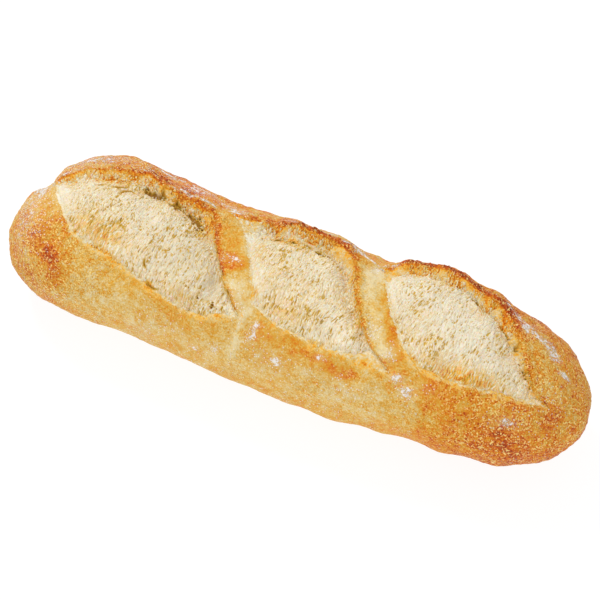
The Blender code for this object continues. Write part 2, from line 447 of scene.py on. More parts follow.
@dataclass(frozen=True)
class Score:
    """One slash of the blade, from its left tip to its right tip.

    The shares are those of the lip, the browning, the depth and the torn face at the
    fractions of the ridge's length that `along` lists.
    """

    name: str
    look: CrumbLook
    ridge: Corners
    edge: Corners
    lip: float
    bulge: float
    depth: float = 5.0
    face_run: float = 6.2
    face_power: float = 0.9
    climb: float = 6.5
    crest_spread: float = 2.6
    shoulder_spread: float = 11.0
    edge_lift: float = 0.8
    edge_spread: float = 4.5
    well_depth: float = 1.6
    well_fall: float = 1.25
    well_run: float = 1.7
    sink_run: float = 6.0
    tuck_run: float = 1.2
    crease_until: tuple[float, float] = (0.42, 0.3)
    lump_height: float = 1.9
    lump_spread: float = 4.5
    face_lump: float = 0.8
    glow: float = 0.0
    gold: float = 0.5
    gold_fall: float = 0.24
    gold_stir: float = 0.75
    burnt: float = 0.62
    burnt_run: float = 0.9
    rim_gold: float = 0.42
    rim_spread: float = 4.0
    tip_pale: float = 0.75
    tip_from: tuple[float, float] = (0.6, 0.78)
    pale_edge: float = 1.0
    smooth_until: tuple[float, float] = (0.3, 0.12)
    along: tuple[float, ...] = (0, 0.12, 0.35, 0.62, 0.78, 0.92, 1)
    lip_share: tuple[float, ...] = (0.25, 0.7, 1, 1, 0.8, 0.5, 0.15)
    brown_share: tuple[float, ...] = (0.3, 0.75, 1, 1, 0.95, 0.8, 0.35)
    brown_spread: tuple[float, ...] = (2.0, 2.4, 2.8, 1.5, 1.3, 1.4, 1.4)
    depth_share: tuple[float, ...] = (0.2, 0.65, 1, 0.95, 0.55, 0.4, 0.1)
    face_share: tuple[float, ...] = (1, 1.15, 1.05, 0.9, 0.5, 0.32, 0.3)

    def share(self, along: Array, shares: tuple[float, ...]) -> Array:
        """One kind of share at some fractions of the ridge's length."""
        return np.interp(along, self.along, shares)

    def measure(self, x: Array, w: Array) -> Place:
        """Where points lie in and around this score.

        Args:
            x: Places along the loaf.
            w: Arcs from the crown.

        Returns:
            Distances from the ridge and the edge, the fractions along them, whether a
            point is inside, and the local lip, depth and run of the torn face.
        """
        ridge, edge = smooth_curve(self.ridge), smooth_curve(self.edge)
        from_ridge, along = nearest(x, w, ridge)
        from_edge, edge_along = nearest(x, w, edge)
        within = (x > ridge[0, 0]) & (x < ridge[-1, 0])
        below_ridge = w > np.interp(x, ridge[:, 0], ridge[:, 1])
        above_edge = w < np.interp(x, edge[:, 0], edge[:, 1])
        return {
            "from_ridge": from_ridge,
            "from_edge": from_edge,
            "along": along,
            "edge_along": edge_along,
            "inside": within & below_ridge & above_edge,
            "lip": self.lip * self.share(along, self.lip_share),
            "deep": self.depth * self.share(along, self.depth_share),
            "run": self.face_run * self.share(along, self.face_share),
        }

    def around(self, place: Place) -> Array:
        """Height of the crust round the score, from what measure gave."""
        crest = 0.5 * bell(place["from_ridge"], self.crest_spread)
        shoulder = 0.5 * bell(place["from_ridge"], self.shoulder_spread)
        soft = self.edge_lift * bell(place["from_edge"], self.edge_spread)
        return np.maximum(place["lip"] * (crest + shoulder), soft)

    def face(self, place: Place) -> Array:
        """Height of the torn face that falls away from the ridge, from what measure gave."""
        run = place["run"] * (1 - 0.45 * ease(place["along"], 0.66, 0.82))
        fall = (place["from_ridge"] / run) ** self.face_power
        return place["lip"] - (place["lip"] + place["deep"]) * fall

    def golden(self, place: Place, patchy: Array) -> Array:
        """How far the oven browned the torn dough.

        Args:
            place: What measure gave.
            patchy: Unevenness from 0 to 1.

        Returns:
            0 for cream to 1 for brown, most under the ridge and along the near edge.
        """
        burnt = self.burnt * np.exp(-place["from_ridge"] / self.burnt_run)
        under = self.gold + self.glow - self.gold_fall * place["from_ridge"] / self.face_run
        under = np.clip(under + self.gold_stir * (patchy - 0.5), 0, 1)
        under = under * (1 - self.tip_pale * ease(place["along"], *self.tip_from)) + burnt
        ends = ease(place["edge_along"], 0.1, 0.35) * ease(place["edge_along"], 1.0, 0.85)
        rim = (self.rim_gold + patchy - 0.5) * bell(place["from_edge"], self.rim_spread)
        return np.maximum(under, rim * ends)

    def well(self, place: Place) -> Array:
        """Height of the crust's inner faces, down to where the crumb covers them.

        Args:
            place: What measure gave.

        Returns:
            The torn face under the ridge, and the thin lip under the near edge.
        """
        inward = place["from_edge"]
        lip = self.edge_lift - self.well_fall * (1 - np.exp(-inward / self.well_run))
        lip = lip - 0.25 * np.maximum(inward - 2.5, 0) ** 1.5
        floor = -place["deep"] - self.well_depth
        return np.maximum(smooth_max(self.face(place), lip, 0.5), floor)

    def crumb(self, place: Place) -> Array:
        """Height of the risen crumb before its own texture.

        Args:
            place: What measure gave, and the crumb's large lumps.

        Returns:
            Height over the plain loaf, diving under the crust outside the score.
        """
        from_ridge, from_edge, lump = place["from_ridge"], place["from_edge"], place["lump"]
        rise = 1 - np.exp(-from_ridge / self.climb)
        inner = self.bulge * (1 - np.exp(-from_edge / self.sink_run)) * rise - place["deep"] * (1 - rise)
        tuck = 0.8 + 0.9 * ease(place["edge_along"], *self.crease_until)
        inner = inner + 0.3 - tuck * np.exp(-from_edge / self.tuck_run)
        swelling = bell(from_ridge - self.face_run, self.lump_spread) * ease(from_edge, 0, 6)
        inner = inner + self.lump_height * lump * swelling
        down = from_ridge / place["run"]
        proud = -0.5 + 0.8 * ease(down, 0.0, 0.22) + self.face_lump * lump * ease(down, 0.1, 0.6)
        inner = smooth_max(self.face(place) + proud, inner, 1.8)
        outside = -0.5 - 1.1 * np.minimum(from_edge, from_ridge)
        return np.where(place["inside"], inner, np.minimum(outside, inner))


@dataclass(frozen=True)
class ScoredCrown:
    """The three scores, the two bridges between them and the shoulder furrow."""

    scores: tuple[Score, ...] = (
        Score(
            "left",
            CrumbLook(
                softness=0.94,
                warmth=0.16,
                cell=(0.72, 2.5),
                dapples=(
                    (-97, 2, 8, 8, -0.06), (-80, 16, 16, 7, 0.32), (-58, 6, 14, 8, -0.08),
                    (-28, 20, 8, 6, -0.1), (-40, 11, 9, 9, -0.1), (-82, -12, 10, 5, 0.46),
                    (-52, -8, 10, 4, 0.2), (-34, 28, 12, 4, 0.3),
                ),
                shades=((-37, 15, 12, 14, 0.28), (-58, 2, 22, 12, 0.12)),
                bubbles=((-26.5, 21.5, 4.0, 6.0, 1.0),),
            ),
            glow=0.08,
            brown_spread=(1.0, 1.3, 1.6, 1.2, 1.0, 0.9, 0.8),
            ridge=(
                (-107, -8), (-101, -11), (-80.5, -17.5), (-72, -20), (-64, -17.5), (-46, -15),
                (-37.5, -10), (-34.2, -1), (-29, 8.3), (-19, 21.7), (-12, 28),
            ),
            edge=((-107, -8), (-100, 6), (-87, 20.3), (-66, 25), (-34, 33.6), (-17, 30.5), (-12, 28)),
            lip=2.4,
            bulge=1.6,
        ),
        Score(
            "middle",
            CrumbLook(
                softness=0.86,
                warmth=0.2,
                cell=(0.72, 2.5),
                dapples=(
                    (-17, -2, 4, 9, 0.24), (2, 22, 11, 5, 0.22), (-2, 7, 9, 7, 0.16), (8, -4, 10, 6, -0.1),
                    (29, 19, 10, 7, -0.28), (-7, -13, 10, 4.5, 0.36),
                ),
            ),
            tip_pale=0.85,
            glow=-0.02,
            tip_from=(0.7, 0.84),
            pale_edge=0.15,
            smooth_until=(0.42, 0.3),
            ridge=((-36, -17), (-27, -17.2), (0, -23.8), (15, -19.3), (26.8, 4.6), (37.5, 19.3), (49, 27.5)),
            edge=((-36, -17), (-26, -9), (-12, 17.5), (-6.4, 23.8), (9, 27.6), (45, 28.6), (49, 27.5)),
            lip=2.6,
            bulge=1.6,
        ),
        Score(
            "right",
            CrumbLook(
                softness=0.66,
                warmth=0.1,
                cell=(0.7, 2.3),
                dapples=(
                    (48, 0, 8, 10, 0.05), (74, 20, 20, 6, 0.44), (68, -4, 12, 8, -0.1), (52, 12, 6, 7, 0.16),
                ),
            ),
            tip_pale=0.5,
            glow=0.1,
            brown_share=(0.3, 0.6, 0.75, 0.65, 0.35, 0.15, 0.05),
            brown_spread=(2.2, 2.9, 3.4, 3.1, 2.3, 1.9, 1.8),
            ridge=((25, -19), (38, -25.5), (56, -26.5), (78, -20.3), (86, -11.2), (97, 7.5), (107.5, 20.5)),
            edge=((25, -19), (30, -14.5), (42, 8.2), (54, 21), (70, 23.6), (90, 22.3), (107.5, 20.5)),
            lip=2.6,
            bulge=1.8,
        ),
    )
    bridges: tuple[Corners, ...] = (
        ((-35, -14), (-27, 1), (-20.5, 12), (-14, 23)),
        ((21, -17), (29, -3), (36.5, 9), (46, 21)),
    )
    bridge_lift: float = 1.3
    bridge_spread: float = 4.6
    holes: tuple[tuple[float, float, float, float, float, float], ...] = (
        (-65.5, -12.9, 5.6, 3.1, -0.2, 1.2), (-55, -10.6, 3.8, 3.5, 0.1, 1.25),
        (-46, -7.6, 6.2, 3.6, 0.5, 1.3), (-37.5, 30.4, 2.2, 0.8, 0.1, 0.7),
        (-29.5, 27.6, 2.2, 1.4, 0.1, 0.9), (-23.5, 27.8, 2.0, 1.3, 0.1, 0.9),
        (-35.5, 24.5, 1.6, 1.4, 0.0, 0.7), (-13, -13.4, 3.0, 1.7, -0.3, 1.15),
        (-6.8, -13.2, 2.9, 1.7, -0.3, 1.1), (-1.5, -14.0, 3.0, 1.6, -0.3, 1.1),
        (4.4, -13.0, 2.2, 1.7, 0.0, 1.15), (7.8, -13.8, 2.1, 1.9, 0.0, 1.2),
        (10.4, -12.2, 1.5, 0.8, 0.3, 0.85), (-18, -9.5, 1.0, 2.0, 0.0, 0.6),
        (58.5, -22, 2.6, 1.3, 0.3, 0.95), (67, -17.6, 3.2, 1.4, 0.4, 0.95),
        (81, -11.5, 4.2, 1.2, 0.75, 0.95), (87.4, -4.6, 1.6, 1.5, 1.2, 1.15),
        (94, 5.6, 4.8, 0.9, 1.3, 0.85),
    )
    cracks: tuple[Corners, ...] = (
        ((-86.6, -5.6), (-85.2, -6.4), (-84.0, -6.4)),
        ((-81.2, -7.0), (-78.5, -7.6), (-74.9, -9.3)),
        ((-76.6, -4.6), (-76.2, -6.1), (-75, -7.3), (-73.1, -7.9), (-70.9, -7.8)),
        ((-54.8, 19.8), (-54.6, 21.6), (-53, 23.6)),
        ((-51.6, 27.0), (-50.6, 28.6), (-48.4, 29.2), (-46.0, 28.8)),
    )
    fold: Corners = ((-6, 22), (-9.5, 24.5), (-11.4, 28), (-11.8, 33), (-11.8, 39), (-12.2, 46))
    fold_lift: float = 1.3
    fold_spread: float = 6.0
    furrow: Corners = ((-118, -42), (-117, -29), (-114, -18), (-109, -8), (-104, -2))
    furrow_depth: float = 2.4
    furrow_spread: float = 4.2
    fade_power: float = 0.7
    cave_noises: tuple[Crumple, Crumple] = (Crumple(83), Crumple(84))
    cave_cell: float = 1.3
    cave_rag: float = 2.4
    crack_depth: float = 0.8
    crack_spread: float = 0.42
    strip_spread: float = 6.5

    def caves(self, x: Array, w: Array, plain: Array) -> Array:
        """Depths of ragged holes along the crease between a torn face and its crumb, and of thin cracks, that
        the pieces carve in and paint with shade.

        Args:
            x: Places along the loaf.
            w: Arcs from the crown.
            plain: The same places on the unscored loaf.

        Returns:
            0 for none to 1 for the bottom of a hole.
        """
        depth = np.zeros(x.shape)
        for middle_x, middle_w, half_x, half_w, lean, amount in self.holes:
            away_w = w - middle_w - lean * (x - middle_x)
            depth = np.maximum(depth, amount * bell(x - middle_x, half_x) * bell(away_w, half_w))
        pitted, ragged = self.cave_noises
        wall, own = pitted.cells(plain, self.cave_cell)
        pit = ease(wall, 0.04, 0.36) * ease(own, 0.15, 0.5)
        rag = 0.46 * ragged.rough(plain, self.cave_rag, 2) - 0.52 * (1 - pit)
        holes = ease(depth + rag * ease(depth, 0.02, 0.3), 0.26, 0.56)
        for crack in self.cracks:
            away, along = nearest(x, w, smooth_curve(crack))
            fade = np.sin(math.pi * np.clip(along, 0.06, 0.94)) ** 0.5
            holes = np.maximum(holes, self.crack_depth * fade * bell(away, self.crack_spread))
        return holes

    def strips(self, x: Array, w: Array) -> Array:
        """1 on the smooth strips of skin between two scores, 0 elsewhere."""
        away = [nearest(x, w, smooth_curve(bridge))[0] for bridge in self.bridges]
        return bell(np.min(away, axis=0), self.strip_spread)

    def folded(self, x: Array, w: Array) -> tuple[Array, Array]:
        """The fold where the skin on the right laps over the skin on the left.

        Args:
            x: Places along the loaf.
            w: Arcs from the crown.

        Returns:
            How far the lapping skin stands up, and 1 along its very edge.
        """
        row = smooth_curve(self.fold)
        _, along = nearest(x, w, row)
        side = x - np.interp(w, row[:, 1], row[:, 0])
        fade = np.sin(math.pi * along) ** self.fade_power * (w > row[0, 1]) * (w < row[-1, 1])
        step = ease(side, -0.9, 0.3) * np.exp(-np.maximum(side, 0) / self.fold_spread)
        return fade * step, fade * bell(side - 0.5, 1.0)

    def ground(self, x: Array, w: Array) -> Array:
        """Height that the bridges add and the shoulder furrow takes away.

        Args:
            x: Places along the loaf.
            w: Arcs from the crown.

        Returns:
            Height over the plain loaf.
        """
        total = np.zeros(x.shape)
        for bridge in self.bridges:
            away, _ = nearest(x, w, smooth_curve(bridge))
            total += self.bridge_lift * bell(away, self.bridge_spread)
        total += self.fold_lift * self.folded(x, w)[0]
        away, along = nearest(x, w, smooth_curve(self.furrow))
        fade = np.sin(math.pi * along) ** self.fade_power
        return total - self.furrow_depth * fade * bell(away, self.furrow_spread)


# ---------------------------------------------------------------- finishes


def photo_colour(red: int, green: int, blue: int) -> Colour:
    """A colour given as 0 to 255 screen values, in the linear light that shaders take.

    Args:
        red: Red, 0 to 255.
        green: Green, 0 to 255.
        blue: Blue, 0 to 255.

    Returns:
        Linear red, green, blue and an alpha of one.
    """
    linear = []
    for value in (red / 255, green / 255, blue / 255):
        linear.append(value / 12.92 if value <= 0.04045 else ((value + 0.055) / 1.055) ** 2.4)
    return linear[0], linear[1], linear[2], 1.0


@dataclass(frozen=True)
class Wiring:
    """Adds nodes to one node tree and links them."""

    tree: bpy.types.NodeTree

    def fill(self, node: bpy.types.Node, sockets: dict[str | int, Any]) -> None:
        """Give a node's input sockets their values.

        Args:
            node: The node.
            sockets: Value, or a node's output to link, for each input socket.
        """
        for key, value in sockets.items():
            if isinstance(value, bpy.types.NodeSocket):
                self.tree.links.new(value, node.inputs[key])
            else:
                node.inputs[key].default_value = value

    def add(self, kind: str, sockets: dict[str | int, Any] | None = None, **settings: Any) -> bpy.types.Node:
        """Add a node.

        Args:
            kind: Blender's name of the node's type.
            sockets: Value, or a node's output to link, for each input socket.
            **settings: The node's own properties.

        Returns:
            The new node.
        """
        node = self.tree.nodes.new(kind)
        for name, value in settings.items():
            setattr(node, name, value)
        self.fill(node, sockets or {})
        return node

    def math(self, operation: str, a: Any, b: Any, c: Any = 0.0, clamp: bool = False) -> Socket:
        """A Math node's result, kept from 0 to 1 if asked; only MULTIPLY_ADD takes a third value."""
        sockets = {0: a, 1: b, 2: c} if operation == "MULTIPLY_ADD" else {0: a, 1: b}
        return self.add("ShaderNodeMath", sockets, operation=operation, use_clamp=clamp).outputs[0]

    def times(self, a: Any, b: Any) -> Socket:
        """The product of two values."""
        return self.math("MULTIPLY", a, b)

    def spread(
        self, value: Any, low: float, high: float, to_low: float = 0.0, to_high: float = 1.0
    ) -> Socket:
        """Ease a value from one range to another.

        Args:
            value: Value or output.
            low: Start of the range that it comes in.
            high: End of that range; may be below the start.
            to_low: Result at the start.
            to_high: Result at the end.

        Returns:
            The clamped result's output.
        """
        sockets = {"Value": value, "From Min": low, "From Max": high, "To Min": to_low, "To Max": to_high}
        return self.add("ShaderNodeMapRange", sockets, interpolation_type="SMOOTHSTEP").outputs["Result"]

    def mix(self, share: Any, a: Any, b: Any) -> Socket:
        """The first colour mixed with a share, 0 to 1, of the second."""
        return self.add("ShaderNodeMix", {0: share, 6: a, 7: b}, data_type="RGBA").outputs[2]

    def ramp(self, value: Any, stops: Stops) -> Socket:
        """A colour for each value.

        Args:
            value: Output that is looked up.
            stops: Places from 0 to 1, and the colour at each.

        Returns:
            The colour's output.
        """
        node = self.add("ShaderNodeValToRGB", {"Fac": value})
        elements = node.color_ramp.elements
        while len(elements) < len(stops):
            elements.new(0.5)
        for element, (at, colour) in zip(elements, stops):
            element.position = at
            element.color = colour
        return node.outputs["Color"]

    def layer(self, layer: Layer, output: str = "Fac") -> Socket:
        """The value that the form stored on the mesh under one layer's name."""
        settings = {"attribute_name": layer.value, "attribute_type": "GEOMETRY"}
        return self.add("ShaderNodeAttribute", **settings).outputs[output]

    def noise(self, place: Socket, scale: Any, detail: float, output: str = "Fac") -> Socket:
        """A noise texture's value from 0 to 1, or its colour."""
        sockets = {"Vector": place, "Scale": scale, "Detail": detail}
        return self.add("ShaderNodeTexNoise", sockets).outputs[output]

    def grains(self, place: Socket, scale: Any) -> tuple[Socket, Socket, Socket]:
        """Grains scattered at random.

        Args:
            place: Coordinates.
            scale: Grains in a metre.

        Returns:
            The distance from a grain's middle, and two numbers of the grain's own.
        """
        grain = self.add("ShaderNodeTexVoronoi", {"Vector": place, "Scale": scale})
        parts = self.add("ShaderNodeSeparateColor", {"Color": grain.outputs["Color"]})
        return grain.outputs["Distance"], parts.outputs["Red"], parts.outputs["Green"]

    def bend(self, place: Socket, scale: float, detail: float, reach: float) -> Socket:
        """Bend coordinates, so that grains on them lie unevenly.

        Args:
            place: Coordinates.
            scale: Scale of the noise that bends them.
            detail: Detail of that noise.
            reach: How far they are bent, in metres.

        Returns:
            The bent coordinates.
        """
        noise = self.noise(place, scale, detail, "Color")
        shift = self.add("ShaderNodeVectorMath", {0: noise, "Scale": reach}, operation="SCALE")
        moved = self.add("ShaderNodeVectorMath", {0: place, 1: shift.outputs[0]}, operation="ADD")
        return moved.outputs[0]

    def group(self, tree: bpy.types.NodeTree, sockets: dict[str, Any]) -> Socket:
        """A node group's first output."""
        return self.add("ShaderNodeGroup", sockets, node_tree=tree).outputs[0]


class GroupKit:
    """The effects that the finishes use, each a shader node group built once."""

    def __init__(self) -> None:
        """Build the groups."""
        self.mottle = self._mottle()
        self.flour = self._flour()
        self.skin = self._skin()

    def _start(
        self, name: str, output: str, inputs: dict[str, float]
    ) -> tuple[Wiring, dict[str, Socket], Socket]:
        """Make a group that takes coordinates and some numbers, and puts out a number.

        Args:
            name: The group's name.
            output: Name of its output.
            inputs: Default of each number, by its name.

        Returns:
            The group's wiring, its inputs by name, and the socket that takes its result.
        """
        tree = bpy.data.node_groups.new(name, "ShaderNodeTree")
        tree.interface.new_socket("Vector", in_out="INPUT", socket_type="NodeSocketVector")
        for label, default in inputs.items():
            socket = tree.interface.new_socket(label, in_out="INPUT", socket_type="NodeSocketFloat")
            socket.default_value = default
        tree.interface.new_socket(output, in_out="OUTPUT", socket_type="NodeSocketFloat")
        wire = Wiring(tree)
        given = dict(wire.add("NodeGroupInput").outputs.items())
        return wire, given, wire.add("NodeGroupOutput").inputs[output]

    def _mottle(self) -> bpy.types.NodeTree:
        """Fine unevenness of a baked surface, in two sizes.

        Returns:
            A group that puts out a value round zero.
        """
        inputs = {"Coarse": 300.0, "Fine": 1200.0, "Fine Share": 0.5}
        wire, given, result = self._start("baked_mottle", "Value", inputs)
        coarse = wire.math("SUBTRACT", wire.noise(given["Vector"], given["Coarse"], 3.0), 0.5)
        fine = wire.math("SUBTRACT", wire.noise(given["Vector"], given["Fine"], 2.0), 0.5)
        wire.tree.links.new(wire.math("MULTIPLY_ADD", fine, given["Fine Share"], coarse), result)
        return wire.tree

    def _flour(self) -> bpy.types.NodeTree:
        """Flour: a thin veil, ragged smears and single grains, more where there is most.

        Returns:
            A group that puts out the share of flour over the surface.
        """
        inputs = {"Flour": 0.0, "Smear Scale": 700.0, "Grain Scale": 850.0, "Veil": 0.3}
        wire, given, result = self._start("flour_dust", "Share", inputs)
        place, flour = given["Vector"], given["Flour"]
        sockets = {"Vector": place, "Scale": given["Smear Scale"], "Detail": 5.0, "Roughness": 0.7}
        smear = wire.add("ShaderNodeTexNoise", sockets).outputs["Fac"]
        threshold = wire.math("MULTIPLY_ADD", flour, -0.30, 0.76)
        smears = wire.spread(wire.math("SUBTRACT", smear, threshold), 0.0, 0.06)
        distance, own, _ = wire.grains(place, given["Grain Scale"])
        chosen = wire.spread(wire.math("SUBTRACT", wire.times(flour, 1.3), own), 0.0, 0.12)
        grain = wire.times(wire.spread(distance, 0.42, 0.3), chosen)
        veil = wire.times(wire.times(flour, given["Veil"]), wire.spread(smear, 0.35, 0.65, 0.3, 1.0))
        most = wire.math("MAXIMUM", wire.times(smears, 0.95), wire.times(grain, 0.7))
        wire.tree.links.new(wire.math("MAXIMUM", most, veil, clamp=True), result)
        return wire.tree

    def _skin(self) -> bpy.types.NodeTree:
        """Small blisters with fine wrinkles over them, for the bump of a crust.

        Returns:
            A group that puts out a height from about 0 to 1.
        """
        wire, given, result = self._start("blistered_skin", "Height", {"Blister Scale": 620.0})
        bent = wire.bend(given["Vector"], 420.0, 2.0, 0.0012)
        blister = wire.add("ShaderNodeTexVoronoi", {"Vector": bent, "Scale": given["Blister Scale"]})
        dome = wire.times(wire.spread(blister.outputs["Distance"], 0.62, 0.05), 0.55)
        wrinkle = wire.noise(bent, 1500.0, 3.0)
        wire.tree.links.new(wire.math("MULTIPLY_ADD", wrinkle, 0.8, dome), result)
        return wire.tree


def start_material(name: str) -> tuple[bpy.types.Material, Wiring, bpy.types.Node]:
    """Make a material.

    Args:
        name: Its name.

    Returns:
        The material, the wiring of its nodes, and its shader.
    """
    material = bpy.data.materials.new(name)
    material.use_nodes = True
    return material, Wiring(material.node_tree), material.node_tree.nodes["Principled BSDF"]


TORN_BROWNING: Stops = (
    (0.0, photo_colour(243, 234, 210)),
    (0.2, photo_colour(237, 219, 176)),
    (0.4, photo_colour(232, 200, 134)),
    (0.6, photo_colour(240, 186, 74)),
    (0.8, photo_colour(234, 148, 34)),
    (1.0, photo_colour(198, 98, 20)),
)
# Painted shade: dark olive brown painted in holes, cracks and the deepest pits.
PAINTED_CAVE_SHADE: Colour = photo_colour(166, 118, 34)


@dataclass(frozen=True)
class CrustFinish:
    """Browned crust with flour on it, and the golden torn face under each ridge."""

    browning: Stops = (
        (0.0, photo_colour(232, 212, 162)),
        (0.18, photo_colour(225, 192, 121)),
        (0.34, photo_colour(220, 169, 66)),
        (0.5, photo_colour(221, 147, 34)),
        (0.66, photo_colour(217, 120, 20)),
        (0.83, photo_colour(199, 86, 14)),
        (1.0, photo_colour(160, 60, 12)),
    )
    flour: Colour = photo_colour(248, 240, 234)
    # Painted highlight: colour of the glint strokes mixed into the crust's colour.
    glint: Colour = photo_colour(254, 222, 138)
    coarse_scale: float = 330.0
    fine_scale: float = 1300.0
    speck_scale: float = 1600.0
    glint_scale: float = 1250.0
    bunch_scale: float = 330.0
    glint_share: float = 0.88
    crevice_shade_share: float = 0.28
    stir: float = 0.56
    grainy_stir: float = 0.36
    roughness: float = 0.5
    flour_roughness: float = 0.3
    glint_roughness: float = -0.12
    bump_height: float = 0.0007

    def _glints(self, wire: Wiring, place: Socket, speck: Socket, grainy: Socket) -> Socket:
        """Painted highlights: small bright glint strokes in bunches, on the grainy crust.

        Args:
            wire: The material's wiring.
            place: Coordinates on the loaf.
            speck: Fine noise that frays the strokes.
            grainy: How grainy the crust is.

        Returns:
            0 for none to 1 on a stroke.
        """
        bunch = wire.noise(place, self.bunch_scale, 1.0)
        distance, own, size = wire.grains(wire.bend(place, 700.0, 1.0, 0.0024), self.glint_scale)
        chosen = wire.spread(wire.math("MULTIPLY_ADD", bunch, 1.8, own), 1.1, 1.6)
        stroke = wire.math("MULTIPLY_ADD", speck, -1.6, wire.math("MULTIPLY_ADD", size, 0.5, distance))
        return wire.times(wire.times(wire.spread(stroke, -0.06, -0.4), chosen), grainy)

    def material(self, kit: GroupKit) -> bpy.types.Material:
        """Build the crust's material.

        Args:
            kit: The node groups.

        Returns:
            The material.
        """
        material, wire, shader = start_material("baguette_crust")
        place = wire.add("ShaderNodeTexCoord").outputs["Object"]
        scales = {"Coarse": self.coarse_scale, "Fine": self.fine_scale, "Fine Share": 1.0}
        value = wire.group(kit.mottle, {"Vector": place, **scales})
        grainy = wire.layer(Layer.GRAIN)
        speck = wire.noise(place, self.speck_scale, 1.0)
        glints = self._glints(wire, place, speck, grainy)
        # Painted shade: dark specks that stand in for shade in the fine crevices of the grainy crust.
        dark = wire.times(wire.spread(speck, 0.44, 0.34), wire.times(grainy, self.crevice_shade_share))
        lively = wire.times(value, wire.math("MULTIPLY_ADD", grainy, self.grainy_stir, self.stir))
        toast = wire.math("ADD", wire.math("ADD", lively, wire.layer(Layer.TOAST)), dark, clamp=True)
        # Painted highlight: the glint strokes lighten the browned colour.
        crust = wire.mix(wire.times(glints, self.glint_share), wire.ramp(toast, self.browning), self.glint)
        bake = wire.math("MULTIPLY_ADD", value, 1.1, wire.layer(Layer.BAKE), clamp=True)
        border = wire.math("MULTIPLY_ADD", value, 0.9, wire.layer(Layer.TORN))
        colour = wire.mix(wire.spread(border, 0.42, 0.58), crust, wire.ramp(bake, TORN_BROWNING))
        # Painted shade in the holes and cracks.
        colour = wire.mix(wire.layer(Layer.HOLLOW), colour, PAINTED_CAVE_SHADE)
        dusting = {"Smear Scale": 650.0, "Grain Scale": 1300.0, "Veil": 0.2}
        dust = wire.group(kit.flour, {"Vector": place, "Flour": wire.layer(Layer.FLOUR), **dusting})
        raised = wire.math("MULTIPLY_ADD", dust, 0.35, wire.group(kit.skin, {"Vector": place}))
        strength = wire.spread(grainy, 0.0, 1.0, 0.45, 1.0)
        relief = {"Height": raised, "Strength": strength, "Distance": self.bump_height}
        matt = wire.math("MULTIPLY_ADD", dust, self.flour_roughness, self.roughness)
        sockets = {
            "Base Color": wire.mix(dust, colour, self.flour),
            "Normal": wire.add("ShaderNodeBump", relief).outputs["Normal"],
            "Roughness": wire.math("MULTIPLY_ADD", glints, self.glint_roughness, matt),
            "Specular IOR Level": 0.08,
            "Subsurface Weight": 0.08,
            "Subsurface Radius": (0.004, 0.002, 0.001),
            "Subsurface Scale": 0.3,
        }
        wire.fill(shader, sockets)
        return material


@dataclass(frozen=True)
class CrumbFinish:
    """Pale torn crumb, warmer where the oven reached it, with painted shade in its pits, creases, holes and
    shaded patches and painted highlight on its strands.
    """

    # Painted shade: golden colour painted in the pits and creases, where shade falls.
    pit: Colour = photo_colour(214, 170, 58)
    # Pale strings of crumb with painted highlight, mixed in on the crests of the strands.
    string_and_highlight: Colour = photo_colour(250, 244, 230)
    # Painted shade: grey tan for the crumb's shaded patches and bubble hollows.
    shade: Colour = photo_colour(184, 166, 118)
    dust: Colour = photo_colour(244, 238, 224)
    stir: float = 1.5
    dusting: float = 0.37
    bump_strength: float = 0.9
    bump_height: float = 0.0006
    roughness: float = 0.8

    def material(self, kit: GroupKit) -> bpy.types.Material:
        """Build the crumb's material.

        Args:
            kit: The node groups.

        Returns:
            The material.
        """
        material, wire, shader = start_material("baguette_crumb")
        strand = wire.layer(Layer.STRAND, "Vector")
        scales = {"Coarse": 1.0, "Fine": 2.2, "Fine Share": 1.6}
        value = wire.group(kit.mottle, {"Vector": strand, **scales})
        warm = wire.layer(Layer.WARM)
        hollow = wire.layer(Layer.HOLLOW)
        pale = wire.spread(warm, 0.56, 0.3, 0.0, 0.7)
        colour = wire.ramp(wire.math("MULTIPLY_ADD", value, self.stir, warm, clamp=True), TORN_BROWNING)
        # Pale strings and painted highlight on the strand crests, where the crumb is pale.
        colour = wire.mix(wire.times(wire.spread(value, 0.04, 0.2), pale), colour, self.string_and_highlight)
        colour = wire.mix(wire.layer(Layer.SHADE), colour, self.shade)
        colour = wire.mix(wire.spread(hollow, 0.0, 0.5), colour, self.pit)
        colour = wire.mix(wire.spread(hollow, 0.5, 1.0), colour, PAINTED_CAVE_SHADE)
        place = wire.add("ShaderNodeTexCoord").outputs["Object"]
        dust = wire.group(kit.flour, {"Vector": place, "Flour": wire.times(pale, self.dusting), "Veil": 0.1})
        relief = {"Height": value, "Strength": self.bump_strength, "Distance": self.bump_height}
        sockets = {
            "Base Color": wire.mix(dust, colour, self.dust),
            "Normal": wire.add("ShaderNodeBump", relief).outputs["Normal"],
            "Roughness": self.roughness,
            "Specular IOR Level": 0.15,
            "Subsurface Weight": 0.3,
            "Subsurface Radius": (0.004, 0.0025, 0.0012),
            "Subsurface Scale": 0.3,
        }
        wire.fill(shader, sockets)
        return material


# ---------------------------------------------------------------- pieces


def add_object(name: str, data: bpy.types.ID) -> bpy.types.Object:
    """Make an object of some data and link it to the scene."""
    made = bpy.data.objects.new(name, data)
    bpy.context.scene.collection.objects.link(made)
    return made


def make_piece(
    name: str, points: Array, faces: list[list[int]], material: bpy.types.Material, layers: dict[Layer, Array]
) -> bpy.types.Object:
    """Make a smooth mesh object that carries its layers.

    Args:
        name: The piece's name.
        points: Vertices in metres.
        faces: Vertex numbers of each face.
        material: The piece's material.
        layers: One number, or one vector, for each vertex under each layer.

    Returns:
        The object, linked to the scene.
    """
    mesh = bpy.data.meshes.new(name)
    mesh.from_pydata(points.tolist(), [], faces)
    mesh.validate()
    for layer, values in layers.items():
        kind, slot = ("FLOAT_VECTOR", "vector") if values.ndim == 2 else ("FLOAT", "value")
        attribute = mesh.attributes.new(layer.value, kind, "POINT")
        attribute.data.foreach_set(slot, values.astype(np.float32).ravel())
    mesh.materials.append(material)
    mesh.shade_smooth()
    log.info("%s: %d vertices, %d faces", name, len(mesh.vertices), len(mesh.polygons))
    return add_object(name, mesh)


